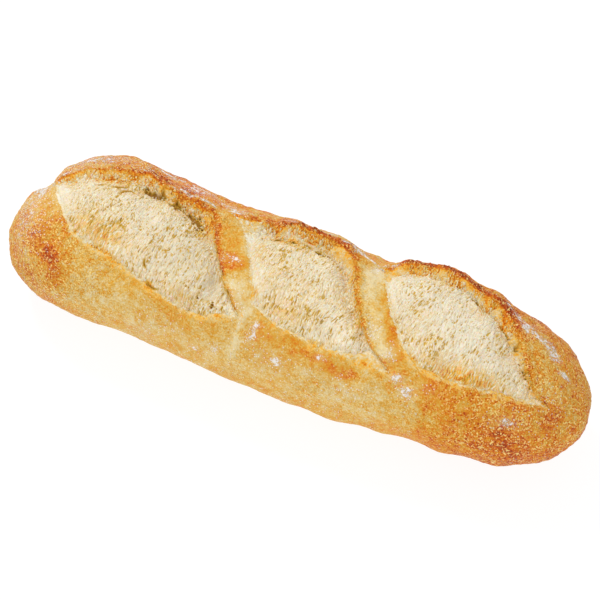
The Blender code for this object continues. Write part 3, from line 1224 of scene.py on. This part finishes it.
@dataclass
class CrustSkin:
    """The crust all round the loaf, with the wells that hold the crumb."""

    form: LoafForm
    crown: ScoredCrown
    rings: int = 390
    segments: int = 256
    crown_span: tuple[float, float] = (24.0, 156.0)
    crown_fade: float = 6.0
    crown_density: float = 1.5
    ring_slant: float = 23.0
    big: Crumple = Crumple(3)
    middling: Crumple = Crumple(17)
    fine: Crumple = Crumple(41)
    sideways: tuple[Crumple, Crumple] = (Crumple(5), Crumple(19))
    graininess: Crumple = Crumple(97)
    browning: tuple[Crumple, Crumple] = (Crumple(61), Crumple(67))
    brown_streaks: Crumple = Crumple(91)
    flour_streaks: Crumple = Crumple(73)
    flour_lines: Crumple = Crumple(93)
    flour_clouds: Crumple = Crumple(71)
    ragged: float = 0.8
    sunk: float = 0.15
    behind_spread: float = 7.0
    lump_spread: float = 3.4
    border_spread: float = 7.0
    pale_spread: float = 1.8
    dapple: float = 0.7
    dapple_run: float = 2.4
    cave_depth: float = 1.5
    plain_toast: float = 0.2
    left_toast: float = 0.17
    right_toast: float = 0.295
    border_toast: float = 0.15
    crest_toast: float = 0.46
    far_toast: float = 0.2
    belly_toast: float = 0.1
    belly_arc: float = 104.2
    fold_pale: float = 0.3
    toast_patches: Patches = (
        (-94, 33, 4.6, 4.2, 0.54), (-88, 39, 4, 6, 0.34), (-91, 30, 4, 4, 0.2), (-62, -33, 12, 5, 0.24),
        (-50, -26, 16, 5, 0.2), (-109, 45, 5, 7, 0.2), (-99, 24, 10, 9, 0.16), (-29, -4, 5, 10, 0.2),
        (-25, 3, 4, 6, 0.12), (-25.6, 12.4, 2.4, 2.6, 0.34), (-22.3, 10.2, 2.4, 2.6, 0.38),
        (-18.8, 8.0, 2.2, 2.6, 0.3), (-33.5, -3, 2.5, 6, 0.2), (-27.0, 8.0, 2.6, 2.4, 0.22),
        (-23.4, 6.0, 2.6, 2.4, 0.24), (-19.8, 4.2, 2.2, 2.4, 0.16), (-18, 20, 6, 6, -0.18),
        (-11, 26, 4, 4, -0.24), (26.5, -12, 3.4, 7, -0.2), (30, 3, 3.5, 7, -0.18),
        (28, -8, 2.4, 7, -0.12), (44, 13, 3.0, 6, 0.16), (36, -2, 1.8, 4, 0.2),
        (40.5, 6.5, 1.8, 4, 0.3), (45.5, 14, 2.0, 4, 0.26), (51, 20.5, 2.6, 3, 0.16),
        (38, -5, 4, 6, 0.12), (43, 21, 3.4, 4, -0.3), (35, 33.5, 3.0, 2.2, 0.3),
        (27, 33.5, 3.0, 2.1, 0.22), (30, 29.5, 10, 2.0, -0.16), (30, 35, 4, 3.5, 0.2),
        (17, 44, 10, 5, 0.08), (16, 32, 9, 4, 0.2), (-2, 32, 5, 4, 0.14), (2, 40, 9, 6, 0.1),
        (-33, 37, 4, 3.5, 0.16), (-80, 36, 6, 6, 0.14), (-22, 36, 4, 3, 0.12), (62, 27, 14, 5, 0.04),
        (75, 28, 6, 4, 0.02), (97, 46, 6, 7, 0.17), (90, 40, 10, 8, 0.12), (72, 36, 14, 11, 0.1),
        (104, 36, 12, 16, 0.05), (106, 18, 6, 6, -0.18), (99, 19, 5, 5, -0.1), (80, -13, 6, 7, -0.12),
        (38, 15, 5, 6, -0.14), (10, 36, 24, 12, -0.05), (-90, -22, 14, 5, 0.14), (-67, -21, 6, 3, 0.36),
        (-58, -22, 9, 4, 0.2), (-50, -21, 9, 4, 0.14), (-38, -20, 5, 5, 0.04), (-10, -27, 10, 4, 0.2),
        (50, -29, 22, 4, 0.1), (91, -7, 9, 9, -0.26), (101, 8, 6, 8, -0.2), (92, -30, 14, 7, -0.12),
        (88, 27.5, 15, 3.4, -0.2), (-66, -28, 30, 8, 0.12),
    )
    flour_patches: Patches = (
        (-92, -24, 18, 7, 0.6), (-52, -27, 9, 5, 0.7), (-57, -18.6, 4, 0.9, 1.2),
        (-50.5, -17.8, 4, 1.0, 1.5), (-44, -17.5, 3, 1.2, 1.2), (-33, -23, 7, 4, 0.7),
        (-108, -4, 5, 8, 0.6), (-114, 0, 5, 16, 0.3), (-99, -11, 8, 6, 0.5), (-110, 26, 6, 10, 0.3),
        (-96, 8, 9, 9, 0.14), (-33, -19.5, 2.5, 1.4, 1.4), (-12, -27, 4, 1.4, 1.2),
        (10, -26, 3, 1.4, 1.5), (-108, 35, 9, 16, 0.2), (-108, 10, 6, 12, 0.5), (-6, 33, 2.6, 5, 0.5),
        (0, 36, 2, 5, 0.35), (-27.5, 8.2, 2.0, 2.0, 0.35), (57, 33, 3.0, 2.6, 1.9),
        (95, 33, 2.2, 1.8, 1.0), (52, 29, 2.0, 1.6, 1.5), (46, 21, 3, 3.4, 0.6), (63, 29, 3, 2, 0.4),
        (17, -25, 3, 2.0, 1.4), (22.5, -23.5, 3, 1.6, 1.7), (31, -22, 4, 2.0, 1.2),
        (26.5, -16, 3.0, 4.0, 1.0), (37, 16, 2.5, 5, 0.4), (-5, 28.6, 1.2, 1.3, 1.1),
        (-5.2, 32.8, 1.2, 1.4, 1.1), (-13, 27, 3, 3, 0.5), (-17, 22, 4, 5, 0.5),
        (89, -17.6, 2.8, 3.0, 2.4), (95.5, -17, 2.2, 1.8, 2.2), (101, -14.5, 2.6, 3.1, 2.4),
        (107.6, -7.4, 2.0, 2.1, 2.2), (93, 33, 5, 3, 0.4), (107, 12, 4, 8, 0.15), (0, -31, 20, 4, 0.5),
        (82, -22.5, 2.6, 1.4, 1.5), (77, -24.5, 2.6, 1.3, 1.4), (86, -20.4, 2.8, 1.1, 1.4),
        (99, -20, 1.8, 1.6, 1.4), (-52, 50, 10, 5, 0.3), (8, 40, 10, 5, 0.28), (34, 40, 8, 5, 0.24),
        # The patch at (-23.3, 6.6) is painted highlight: white glints on the blister of the left bridge, laid
        # in as flour.
        (-40, 42, 10, 5, 0.24), (-23.3, 6.6, 2.4, 1.4, 0.8), (5.8, 39, 2.2, 1.4, 0.9),
        (-19, 43.5, 2.4, 1.5, 0.8), (22, 31.5, 2.2, 1.2, 0.8), (-28, 47, 2.0, 1.4, 0.8),
    )

    def grid(self) -> tuple[Array, Array]:
        """Rows of rings that lean over the crown the way the scores lean.

        Returns:
            Place along the loaf and arc from the crown, ring by ring.
        """
        form = self.form
        fine = -np.cos(np.linspace(0, math.pi, 4001)) * form.length / 2
        steps = np.hypot(np.diff(fine), np.diff(form.girth(fine) * form.half_width))
        run = np.concatenate([[0], np.cumsum(steps)])
        stations = np.interp(np.linspace(0, run[-1], self.rings + 1), run, fine)
        turn = np.linspace(-90, 270, 1441)
        low, high = self.crown_span
        fade = self.crown_fade
        crowd = 1 / (1 + np.exp((low - turn) / fade)) / (1 + np.exp((turn - high) / fade))
        run = np.concatenate([[0], np.cumsum(1 + self.crown_density * crowd[1:])])
        turns = np.interp(np.linspace(0, run[-1], self.segments, endpoint=False), run, turn)
        x, turn = np.meshgrid(stations, turns, indexing="ij")
        lean = self.ring_slant * np.sin(np.radians(turn - 90))
        return x + lean * (1 - (2 * x / form.length) ** 4), (turn - 90) * form.arc_per_degree

    def relief(self, x: Array, w: Array) -> tuple[Array, dict[Layer, Array]]:
        """Height and layers of the crust.

        Args:
            x: Places along the loaf.
            w: Arcs from the crown.

        Returns:
            Height over the plain loaf, and the layers for the material.
        """
        plain = self.form.under(x, w)
        warped = []
        for at, (coarse, fine) in ((x, (self.big, self.middling)), (w, self.sideways)):
            warped.append(at + self.ragged * (coarse.soft(plain, 4.6) + 0.55 * fine.soft(plain, 1.8)))
        rag = 1 + 0.28 * self.middling.rough(plain, 3.4)
        patchy = self.form.heat(plain)
        outside, opened, torn, bake, crest, behind, lumpy, border, pale = np.zeros((9, *x.shape))
        inside = np.zeros(x.shape, bool)
        for score in self.crown.scores:
            place = score.measure(*warped)
            place["lip"] = place["lip"] * rag
            here, along, edge_along = place["inside"], place["along"], place["edge_along"]
            from_ridge, from_edge = place["from_ridge"], place["from_edge"]
            inside |= here
            outside = np.maximum(outside, score.around(place))
            opened = np.where(here, score.well(place), opened)
            raised = score.share(along, score.lip_share)
            browned = bell(from_ridge, score.share(along, score.brown_spread))
            crest = np.maximum(crest, score.share(along, score.brown_share) * browned)
            behind = np.maximum(behind, raised * bell(from_ridge, self.behind_spread))
            upper = 1 - 0.75 * ease(along, 0.58, 0.72)
            lumpy = np.maximum(lumpy, upper * raised * bell(from_ridge, self.lump_spread))
            tip = score.pale_edge * ease(edge_along, 0.3, 0.12)
            pale = np.maximum(pale, tip * bell(from_edge, self.pale_spread))
            near = ease(edge_along, 0.25, 0.5)
            border = np.maximum(border, near * bell(from_edge, self.border_spread))
            rim = np.maximum(bake, 0.5 * near * bell(from_edge, 5.0))
            bake = np.where(here, score.golden(place, patchy), rim)
            mask = np.where(from_edge < from_ridge, ease(from_edge, 0.0, 0.8), ease(from_ridge, 0.1, 1.1))
            dapple = near * self.dapple * (np.exp(-from_edge / self.dapple_run) + patchy - 0.5)
            torn = np.where(here, mask, np.maximum(torn, dapple * ease(from_edge, 5.0, 2.0)))
        # Holes and cracks: carved in, and given painted shade through the hollow layer.
        caves = self.crown.caves(x, w, plain) * inside
        lumps = self._crags(w, plain, lumpy, behind)
        opened = opened + 0.3 * self.middling.creased(plain, 2.8, 3)
        height = np.where(inside, opened, outside + lumps)
        layers = {
            Layer.TOAST: self.toast(x, w, plain, crest * (0.5 + 0.6 * patchy), behind, border - 1.2 * pale),
            Layer.FLOUR: np.where(inside, 0.0, self.flour(x, w, plain)),
            Layer.TORN: torn,
            Layer.BAKE: np.clip(bake, 0, 1),
            Layer.HOLLOW: np.clip(caves, 0, 1),
            Layer.GRAIN: self.grain(x, w, plain, np.maximum(crest, 0.8 * behind)),
        }
        return height + self.crown.ground(x, w) - self.cave_depth * caves, layers

    def _crags(self, w: Array, plain: Array, lumpy: Array, behind: Array) -> Array:
        """Blisters and wrinkles of the skin, and the crags along the ridges.

        Args:
            w: Arcs from the crown.
            plain: The same places on the unscored loaf.
            lumpy: 1 on the crags.
            behind: 1 just behind a ridge.

        Returns:
            Height over the smooth crust.
        """
        blister, own = self.fine.blobs(plain, 2.2)
        dome = np.clip(1 - (blister / (0.3 + 0.35 * own)) ** 2, 0, 1) * (own > 0.35)
        ends = ease(np.abs(plain[..., 0]), 60, 105)
        wrinkled = 0.12 + 0.22 * self.far_side(plain)
        skin = 0.14 * dome * (0.35 + ends) + wrinkled * self.big.creased(plain, 5.0, 3)
        crags = lumpy * (self.middling.creased(plain, 2.6, 2) + 0.6 * self.big.soft(plain, 4.0))
        crags += 0.6 * behind * ease(w, -15, -21) * self.fine.creased(plain, 2.0, 1)
        return skin + 0.05 * self.fine.soft(plain, 0.9) + crags - self.sunk

    def grain(self, x: Array, w: Array, plain: Array, crest: Array) -> Array:
        """How grainy the crust is.

        Args:
            x: Places along the loaf.
            w: Arcs from the crown.
            plain: The same places on the unscored loaf.
            crest: 1 on a ridge.

        Returns:
            0 for satin skin to 1 for the grainy ends and ridges.
        """
        smooth = bell(x + 100, 12) * bell(w - 8, 13)
        total = 0.46 + 0.54 * ease(np.abs(x), 52, 92) - 0.6 * smooth + 0.6 * crest
        total += 0.25 * self.graininess.rough(plain, 9.0, 2)
        return np.clip(total, 0, 1) * (1 - 0.85 * self.crown.strips(x, w) * (1 - crest))

    def far_side(self, plain: Array) -> Array:
        """1 on the long side away from the scores, faded out at the tips and underneath."""
        return ease(plain[..., 1], 13.0, 28.0) * ease(plain[..., 2], 2.0, 15.0)

    def toast(self, x: Array, w: Array, plain: Array, crest: Array, behind: Array, border: Array) -> Array:
        """How browned the crust is.

        Args:
            x: Places along the loaf.
            w: Arcs from the crown.
            plain: The same places on the unscored loaf.
            crest: 1 on a ridge.
            behind: 1 just behind a ridge.
            border: 1 along a near edge.

        Returns:
            0 for pale gold to 1 for dark red brown.
        """
        left, right, far = ease(x, -78, -104), ease(x, 42, 88), self.far_side(plain)
        total = self.plain_toast + self.left_toast * left + self.right_toast * right
        total += self.border_toast * border + self.crest_toast * crest + self.far_toast * far
        streak = self.brown_streaks.rough(np.stack([x, w], -1), (7.0, 1.3), 3)
        shadow = 0.12 * ease(w, -15, -20) * ease(x, -62, -20) + 0.22 * streak * ease(w, -12, -20)
        total += behind * (0.06 + shadow)
        # Browner low on the near side: partly browning, partly painted shade darkening it towards the bottom.
        total += (0.12 + 0.07 * ease(x, -20, 30)) * ease(w, 42, 58) * ease(w, 98, 80)
        total += patched(x, w, self.toast_patches)
        stir = 0.13 + 0.05 * right + 0.04 * left + 0.2 * far
        broad, narrow = self.browning
        total += 0.1 * broad.rough(plain, 14.0, 3) + stir * narrow.rough(plain, 5.0, 4)
        belly = ease(np.abs(w - self.belly_arc), 34, 18) + ease(np.abs(w + self.belly_arc), 34, 18)
        total += self.belly_toast * belly - self.fold_pale * self.crown.folded(x, w)[1]
        return np.clip(total, 0, 1)

    def flour(self, x: Array, w: Array, plain: Array) -> Array:
        """How much flour lies on the crust, with thin lines behind the left ridge that are flour and painted
        highlight.

        Args:
            x: Places along the loaf.
            w: Arcs from the crown.
            plain: The same places on the unscored loaf.

        Returns:
            0 for none to 1 for a thick dusting.
        """
        flat = np.stack([x, w], -1)
        low_end = ease(w, 98, 80)
        total = 0.04 + 0.05 * ease(np.abs(x), 70, 110) + 0.08 * self.far_side(plain)
        total += 0.12 * ease(w, 42, 56) * low_end * ease(x, 80, 50) * ease(x, -125, -95)
        streak = np.clip(self.flour_streaks.rough(flat, (1.6, 14.4), 2), 0, 1)
        total += 0.16 * streak * ease(np.abs(x), 80, 50) * ease(w, 26, 36) * low_end
        total += patched(x, w, self.flour_patches)
        # Thin white lines behind the left ridge: flour, and painted highlight of glints along the ridge.
        lines = ease(self.flour_lines.rough(flat, (8.0, 1.2), 3), 0.2, 0.5)
        total += lines * ease(w, -18, -22) * ease(w, -44, -36) * ease(x, -30, -44)
        return np.clip(total * (1 + 0.8 * self.flour_clouds.rough(plain, 6.0, 3)), 0, 1)

    def build(self, material: bpy.types.Material) -> bpy.types.Object:
        """Make the crust.

        Args:
            material: The crust's material.

        Returns:
            The crust's object.
        """
        x, w = self.grid()
        height, layers = self.relief(x, w)
        points = self.form.place(x, w, height)
        rings, count = x.shape
        left, right = points[0].mean(axis=0), points[-1].mean(axis=0)
        vertices = np.vstack([left, points[1:-1].reshape(-1, 3), right])
        number = 1 + np.arange((rings - 2) * count).reshape(rings - 2, count)
        following = np.roll(number, -1, axis=1)
        quads = np.stack([number[:-1], following[:-1], following[1:], number[1:]], -1).reshape(-1, 4)
        first, last = np.zeros(count, int), np.full(count, len(vertices) - 1)
        faces = [
            quads[:, [0, 1, 2]],
            quads[:, [0, 2, 3]],
            np.stack([first, following[0], number[0]], -1),
            np.stack([last, number[-1], following[-1]], -1),
        ]
        spread = {}
        for layer, values in layers.items():
            ends = [values[0].mean()], [values[-1].mean()]
            spread[layer] = np.concatenate([ends[0], values[1:-1].reshape(-1), ends[1]])
        return make_piece("crust", vertices, np.vstack(faces).tolist(), material, spread)


@dataclass
class CrumbSwell:
    """The crumb that wells up in one score."""

    form: LoafForm
    crown: ScoredCrown
    score: Score
    spacing: float = 0.21
    margin: float = 2.2
    slant: float = 0.72
    root_depth: float = 14.0
    strand_lean: float = -0.1
    strand_size: tuple[float, float, float] = (1.1, 4.6, 1.1)
    clump_cell: float = 1.9
    crumb_cell: float = 0.95
    finer: float = 0.62
    seed: int = 100

    def _noise(self, number: int) -> Crumple:
        """This crumb's own noise, another one for each number."""
        return Crumple(self.seed + number)

    def texture(self, x: Array, w: Array, place: Place) -> tuple[Array, dict[Layer, Array]]:
        """Stretched cells, clumps and bubbles of the torn crumb.

        Args:
            x: Places along the loaf.
            w: Arcs from the crown.
            place: What the score measured there.

        Returns:
            Height to add, and the layers: how much painted shade a pit, crease or hole gives a
            point, how much painted shade its shaded patch or bubble gives it, the strands'
            coordinates, and how golden it is, with painted light and shade over the clumps.
        """
        look, score = self.score.look, self.score
        along, edge_along = place["along"], place["edge_along"]
        from_ridge, from_edge = place["from_ridge"], place["from_edge"]
        across = x - self.strand_lean * w
        flat = np.stack([across, w], -1)
        sway = self._noise(0).soft(flat, (8.0, 10.0)) + 0.24 * self._noise(9).soft(flat, (2.5, 3.0))
        strand = np.stack([across + sway, w + 0.8 * self._noise(3).soft(flat, 3.0)], -1)
        streaks = self._noise(7).creased(strand, (1.2, 6.0), 2)
        base = score.crumb(place)
        solid = np.stack([x, w, base], -1)
        face = bell(np.maximum(from_ridge / score.face_run - 0.5, 0), 0.7)
        face = face * (1 - 0.8 * ease(along, 0.62, 0.8))
        calm = ease(edge_along, *score.smooth_until) * bell(from_edge, 6.0)
        soft = look.softness * (1 - calm)
        hollow, fine_hollow = self._pores(flat, strand)
        clump = self._grains(13, solid + 0.5 * streaks[..., None], self.clump_cell)
        grain = self._grains(14, solid, self.crumb_cell)
        frayed = ease(along, 0.68, 0.8) * bell(from_ridge, 4.0)
        fibre = 0.28 * streaks * (1 + 2.0 * frayed) - 0.46 * hollow - 0.3 * fine_hollow
        height = 0.26 * self._noise(2).rough(flat, (9.0, 11.0), 3) * (1 - 0.6 * calm)
        height += soft * (fibre + 0.15) * (1 - 0.8 * face) + face * (0.75 * clump + 0.4 * grain - 0.55)
        # Painted shade: the crease along the soft edge and the pits are darkened through the hollow layer.
        crease = 0.48 * ease(edge_along, *score.crease_until) * bell(from_edge, 0.6)
        deep = soft * (0.68 * hollow + 0.58 * fine_hollow) * (1 - 0.6 * face) + crease
        # Painted shade: patches of the crumb darkened where it lies in shade.
        shade = patched(x, w, look.shades)
        for middle_x, middle_w, half_x, half_w, amount in look.bubbles:
            away = np.hypot((x - middle_x) / half_x, (w - middle_w) / half_w)
            away = away * (1 + 0.16 * self._noise(6).rough(flat, 3.0, 2))
            bowl = np.clip(1 - away**2, 0, 1)
            height = height * (1 - 0.6 * bowl) - amount * bowl**0.5 + 0.3 * bell(away - 1.1, 0.14)
            deep = deep * (1 - bowl)
            # Painted shade in the bubble's hollow.
            shade += 0.12 * bowl**0.5
        caves = self.crown.caves(x, w, self.form.under(x, w))
        # Painted shade toward the bottom of the torn face: darker pits and warmer colour there.
        low = np.exp(-from_ridge / 2.6) * place["deep"] / score.depth
        # Painted light and shade: tops of clumps and grains on the torn face paler, the furrows between them
        # more golden.
        painted_relief_shade = face * (0.2 - 0.24 * clump - 0.22 * grain) + 0.06 * low
        layers = {
            Layer.HOLLOW: np.maximum(np.clip(deep + 0.1 * low, 0, 0.5), caves),
            Layer.SHADE: np.clip(shade, 0, 1),
            Layer.WARM: self.warm(x, w, place) + painted_relief_shade,
            Layer.STRAND: np.stack([across + sway, w, base], -1) / self.strand_size,
        }
        return height - (1.0 + 0.5 * grain) * caves, layers

    def _pores(self, flat: Array, strand: Array) -> tuple[Array, Array]:
        """Large pores in crowds, and fine ones all over.

        Args:
            flat: Places on the crumb.
            strand: The same places, swayed with the strands.

        Returns:
            Depth of the large pores and of the fine ones, 0 to 1.
        """
        cell = self.score.look.cell
        crowd = 0.5 + 0.5 * self._noise(4).rough(flat, (7.0, 9.0), 2)
        wall, own = self._noise(1).cells(strand, cell)
        large = ease(own + 1.2 * (crowd - 0.55), 0.72, 1.0) * ease(wall, 0.05, 0.45)
        wall, own = self._noise(10).cells(strand, tuple(self.finer * size for size in cell))
        return large, (0.1 + own**2) * ease(wall, 0.02, 0.5)

    def _grains(self, number: int, points: Array, cell: float) -> Array:
        """Height of rounded grains of torn dough over the furrows between them."""
        wall, own = self._noise(number).cells(points, cell)
        return ease(wall, 0.0, 0.5) * (0.35 + own)

    def fan(self, faces: Array, heart: int) -> Array:
        """Triangles that close the crumb below, out of sight.

        Args:
            faces: Vertex numbers of the crumb's faces.
            heart: Number of the vertex that the triangles run to.

        Returns:
            One triangle for each edge on the rim.
        """
        edges = np.vstack([faces[:, [k, (k + 1) % 4]] for k in range(4)])
        key = np.sort(edges, axis=1) @ np.array([heart + 1, 1])
        _, first, count = np.unique(key, return_index=True, return_counts=True)
        rim = edges[first[count == 1]]
        return np.stack([rim[:, 1], rim[:, 0], np.full(len(rim), heart)], -1)

    def warm(self, x: Array, w: Array, place: Place) -> Array:
        """How golden the oven has turned the crumb.

        Args:
            x: Places along the loaf.
            w: Arcs from the crown.
            place: What the score measured there.

        Returns:
            0 for cream to 1 for gold.
        """
        look = self.score.look
        patchy = self.form.heat(self.form.under(x, w))
        total = look.warmth + 0.14 * self._noise(8).rough(np.stack([x, w], -1), 9.0, 4)
        golden = np.maximum(total + patched(x, w, look.dapples), self.score.golden(place, patchy))
        beside = ease(place["edge_along"], 0.34, 0.12) * bell(place["from_edge"], 5.0)
        return np.clip(golden * (1 - 0.8 * beside), 0, 1)

    def build(self, material: bpy.types.Material) -> bpy.types.Object:
        """Make this score's crumb.

        Args:
            material: The crumb's material.

        Returns:
            The crumb's object.
        """
        outline = np.vstack([smooth_curve(self.score.ridge), smooth_curve(self.score.edge)])
        spans = []
        for row in (outline[:, 0] - self.slant * outline[:, 1], outline[:, 1]):
            spans.append(np.arange(row.min() - self.margin, row.max() + self.margin, self.spacing))
        u, w = np.meshgrid(*spans, indexing="ij")
        x = u + self.slant * w
        place = self.score.measure(x, w)
        place["lump"] = self._noise(20).rough(self.form.under(x, w), 8.0, 3)
        added, values = self.texture(x, w, place)
        height = self.score.crumb(place) + added * np.where(place["inside"], 1, 0.3)
        points = self.form.place(x, w, height + self.crown.ground(x, w))
        kept = place["inside"] | (np.minimum(place["from_ridge"], place["from_edge"]) < self.margin)
        number = np.arange(kept.size).reshape(kept.shape)
        whole = kept[:-1, :-1] & kept[1:, :-1] & kept[1:, 1:] & kept[:-1, 1:]
        quads = np.stack([number[:-1, :-1], number[1:, :-1], number[1:, 1:], number[:-1, 1:]], -1)
        used, faces = np.unique(quads[whole], return_inverse=True)
        faces = faces.reshape(-1, 4)[:, ::-1]
        corners = points.reshape(-1, 3)[used]
        heart = np.average(corners, axis=0) - np.array([0, 0, self.root_depth * MM])
        fan = self.fan(faces, len(used))
        layers = {}
        for layer, grid in values.items():
            rows = grid.reshape(kept.size, -1)[used]
            rows = np.vstack([rows, np.zeros(rows.shape[1])])
            layers[layer] = rows if rows.shape[1] > 1 else rows[:, 0]
        vertices, closed = np.vstack([corners, heart]), [*faces.tolist(), *fan.tolist()]
        return make_piece("crumb_" + self.score.name, vertices, closed, material, layers)


# ---------------------------------------------------------------- studio


@dataclass(frozen=True)
class Studio:
    """A plain pale floor, soft light and the camera at the photograph's angle."""

    azimuth: float = 24.517
    elevation: float = 54.0
    distance: float = 1.0
    lens: float = 155.56
    sensor: float = 36.0
    aim: tuple[float, float, float] = (0.0005, -0.0005, 0.025)
    across: float = 0.00119
    upward: float = 0.00526
    floor_half: float = 6.0
    floor_drop: float = 0.0002
    floor_grey: Colour = (0.16, 0.16, 0.16, 1.0)
    floor_glow: float = 0.89
    white: Colour = (1.0, 1.0, 1.0, 1.0)
    sky: float = 0.64
    lamps: tuple[tuple[str, tuple[float, float, float], float, float], ...] = (
        ("key", (-0.8, 0.5, 1.2), 10.4, 0.3),
        ("fill", (0.5, -1.4, 0.9), 7.1, 1.0),
    )
    lamp_aim: tuple[float, float, float] = (0.0, 0.0, 0.02)

    def build(self) -> None:
        """Add the floor, the lights, the sky and the camera."""
        self._floor()
        self._lights()
        self._camera()

    def _floor(self) -> None:
        """Lay the pale floor just under the loaf."""
        half, z = self.floor_half, -self.floor_drop
        mesh = bpy.data.meshes.new("floor")
        corners = [(-half, -half, z), (half, -half, z), (half, half, z), (-half, half, z)]
        mesh.from_pydata(corners, [], [(0, 1, 2, 3)])
        material, wire, shader = start_material("pale_floor")
        sockets = {
            "Base Color": self.floor_grey,
            "Roughness": 0.9,
            "Specular IOR Level": 0.0,
            "Emission Color": self.white,
            "Emission Strength": self.floor_glow,
        }
        wire.fill(shader, sockets)
        mesh.materials.append(material)
        floor = add_object("floor", mesh)

    def _lights(self) -> None:
        """Hang the soft lights and set the sky."""
        for name, at, power, size in self.lamps:
            lamp = bpy.data.lights.new(name, "AREA")
            lamp.energy = power
            lamp.size = size
            holder = add_object(name, lamp)
            holder.location = at
            holder.rotation_euler = (Vector(self.lamp_aim) - Vector(at)).to_track_quat("-Z", "Y").to_euler()
        world = bpy.data.worlds.new("soft_sky")
        world.use_nodes = True
        wire = Wiring(world.node_tree)
        wire.fill(world.node_tree.nodes["Background"], {"Color": self.white, "Strength": self.sky})
        bpy.context.scene.world = world
        bpy.context.scene.view_settings.view_transform = "Standard"

    def _camera(self) -> None:
        """Set the camera where the photograph was taken from."""
        turn, tilt = math.radians(self.azimuth), math.radians(self.elevation)
        back = Vector((math.sin(turn) * math.cos(tilt), -math.cos(turn) * math.cos(tilt), math.sin(tilt)))
        right = Vector((math.cos(turn), math.sin(turn), 0))
        data = bpy.data.cameras.new("camera")
        data.lens = self.lens
        data.sensor_width = self.sensor
        camera = add_object("camera", data)
        aim = Vector(self.aim) + right * self.across + back.cross(right) * self.upward
        camera.location = aim + back * self.distance
        camera.rotation_euler = (-back).to_track_quat("-Z", "Y").to_euler()
        bpy.context.scene.camera = camera


def main() -> None:
    """Build the loaf's pieces and the studio, in order."""
    logging.basicConfig(level=logging.INFO, format="%(name)s: %(message)s")
    form, crown, kit = LoafForm(), ScoredCrown(), GroupKit()
    crust_material, crumb_material = CrustFinish().material(kit), CrumbFinish().material(kit)
    pieces = [CrustSkin(form, crown).build(crust_material)]
    for number, score in enumerate(crown.scores):
        swell = CrumbSwell(form, crown, score, seed=100 + 20 * number)
        pieces.append(swell.build(crumb_material))
    for piece in pieces:
        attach(piece, "root")
        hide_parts("demi_baguette")
    Studio().build()


if __name__ == "__main__":
    main()
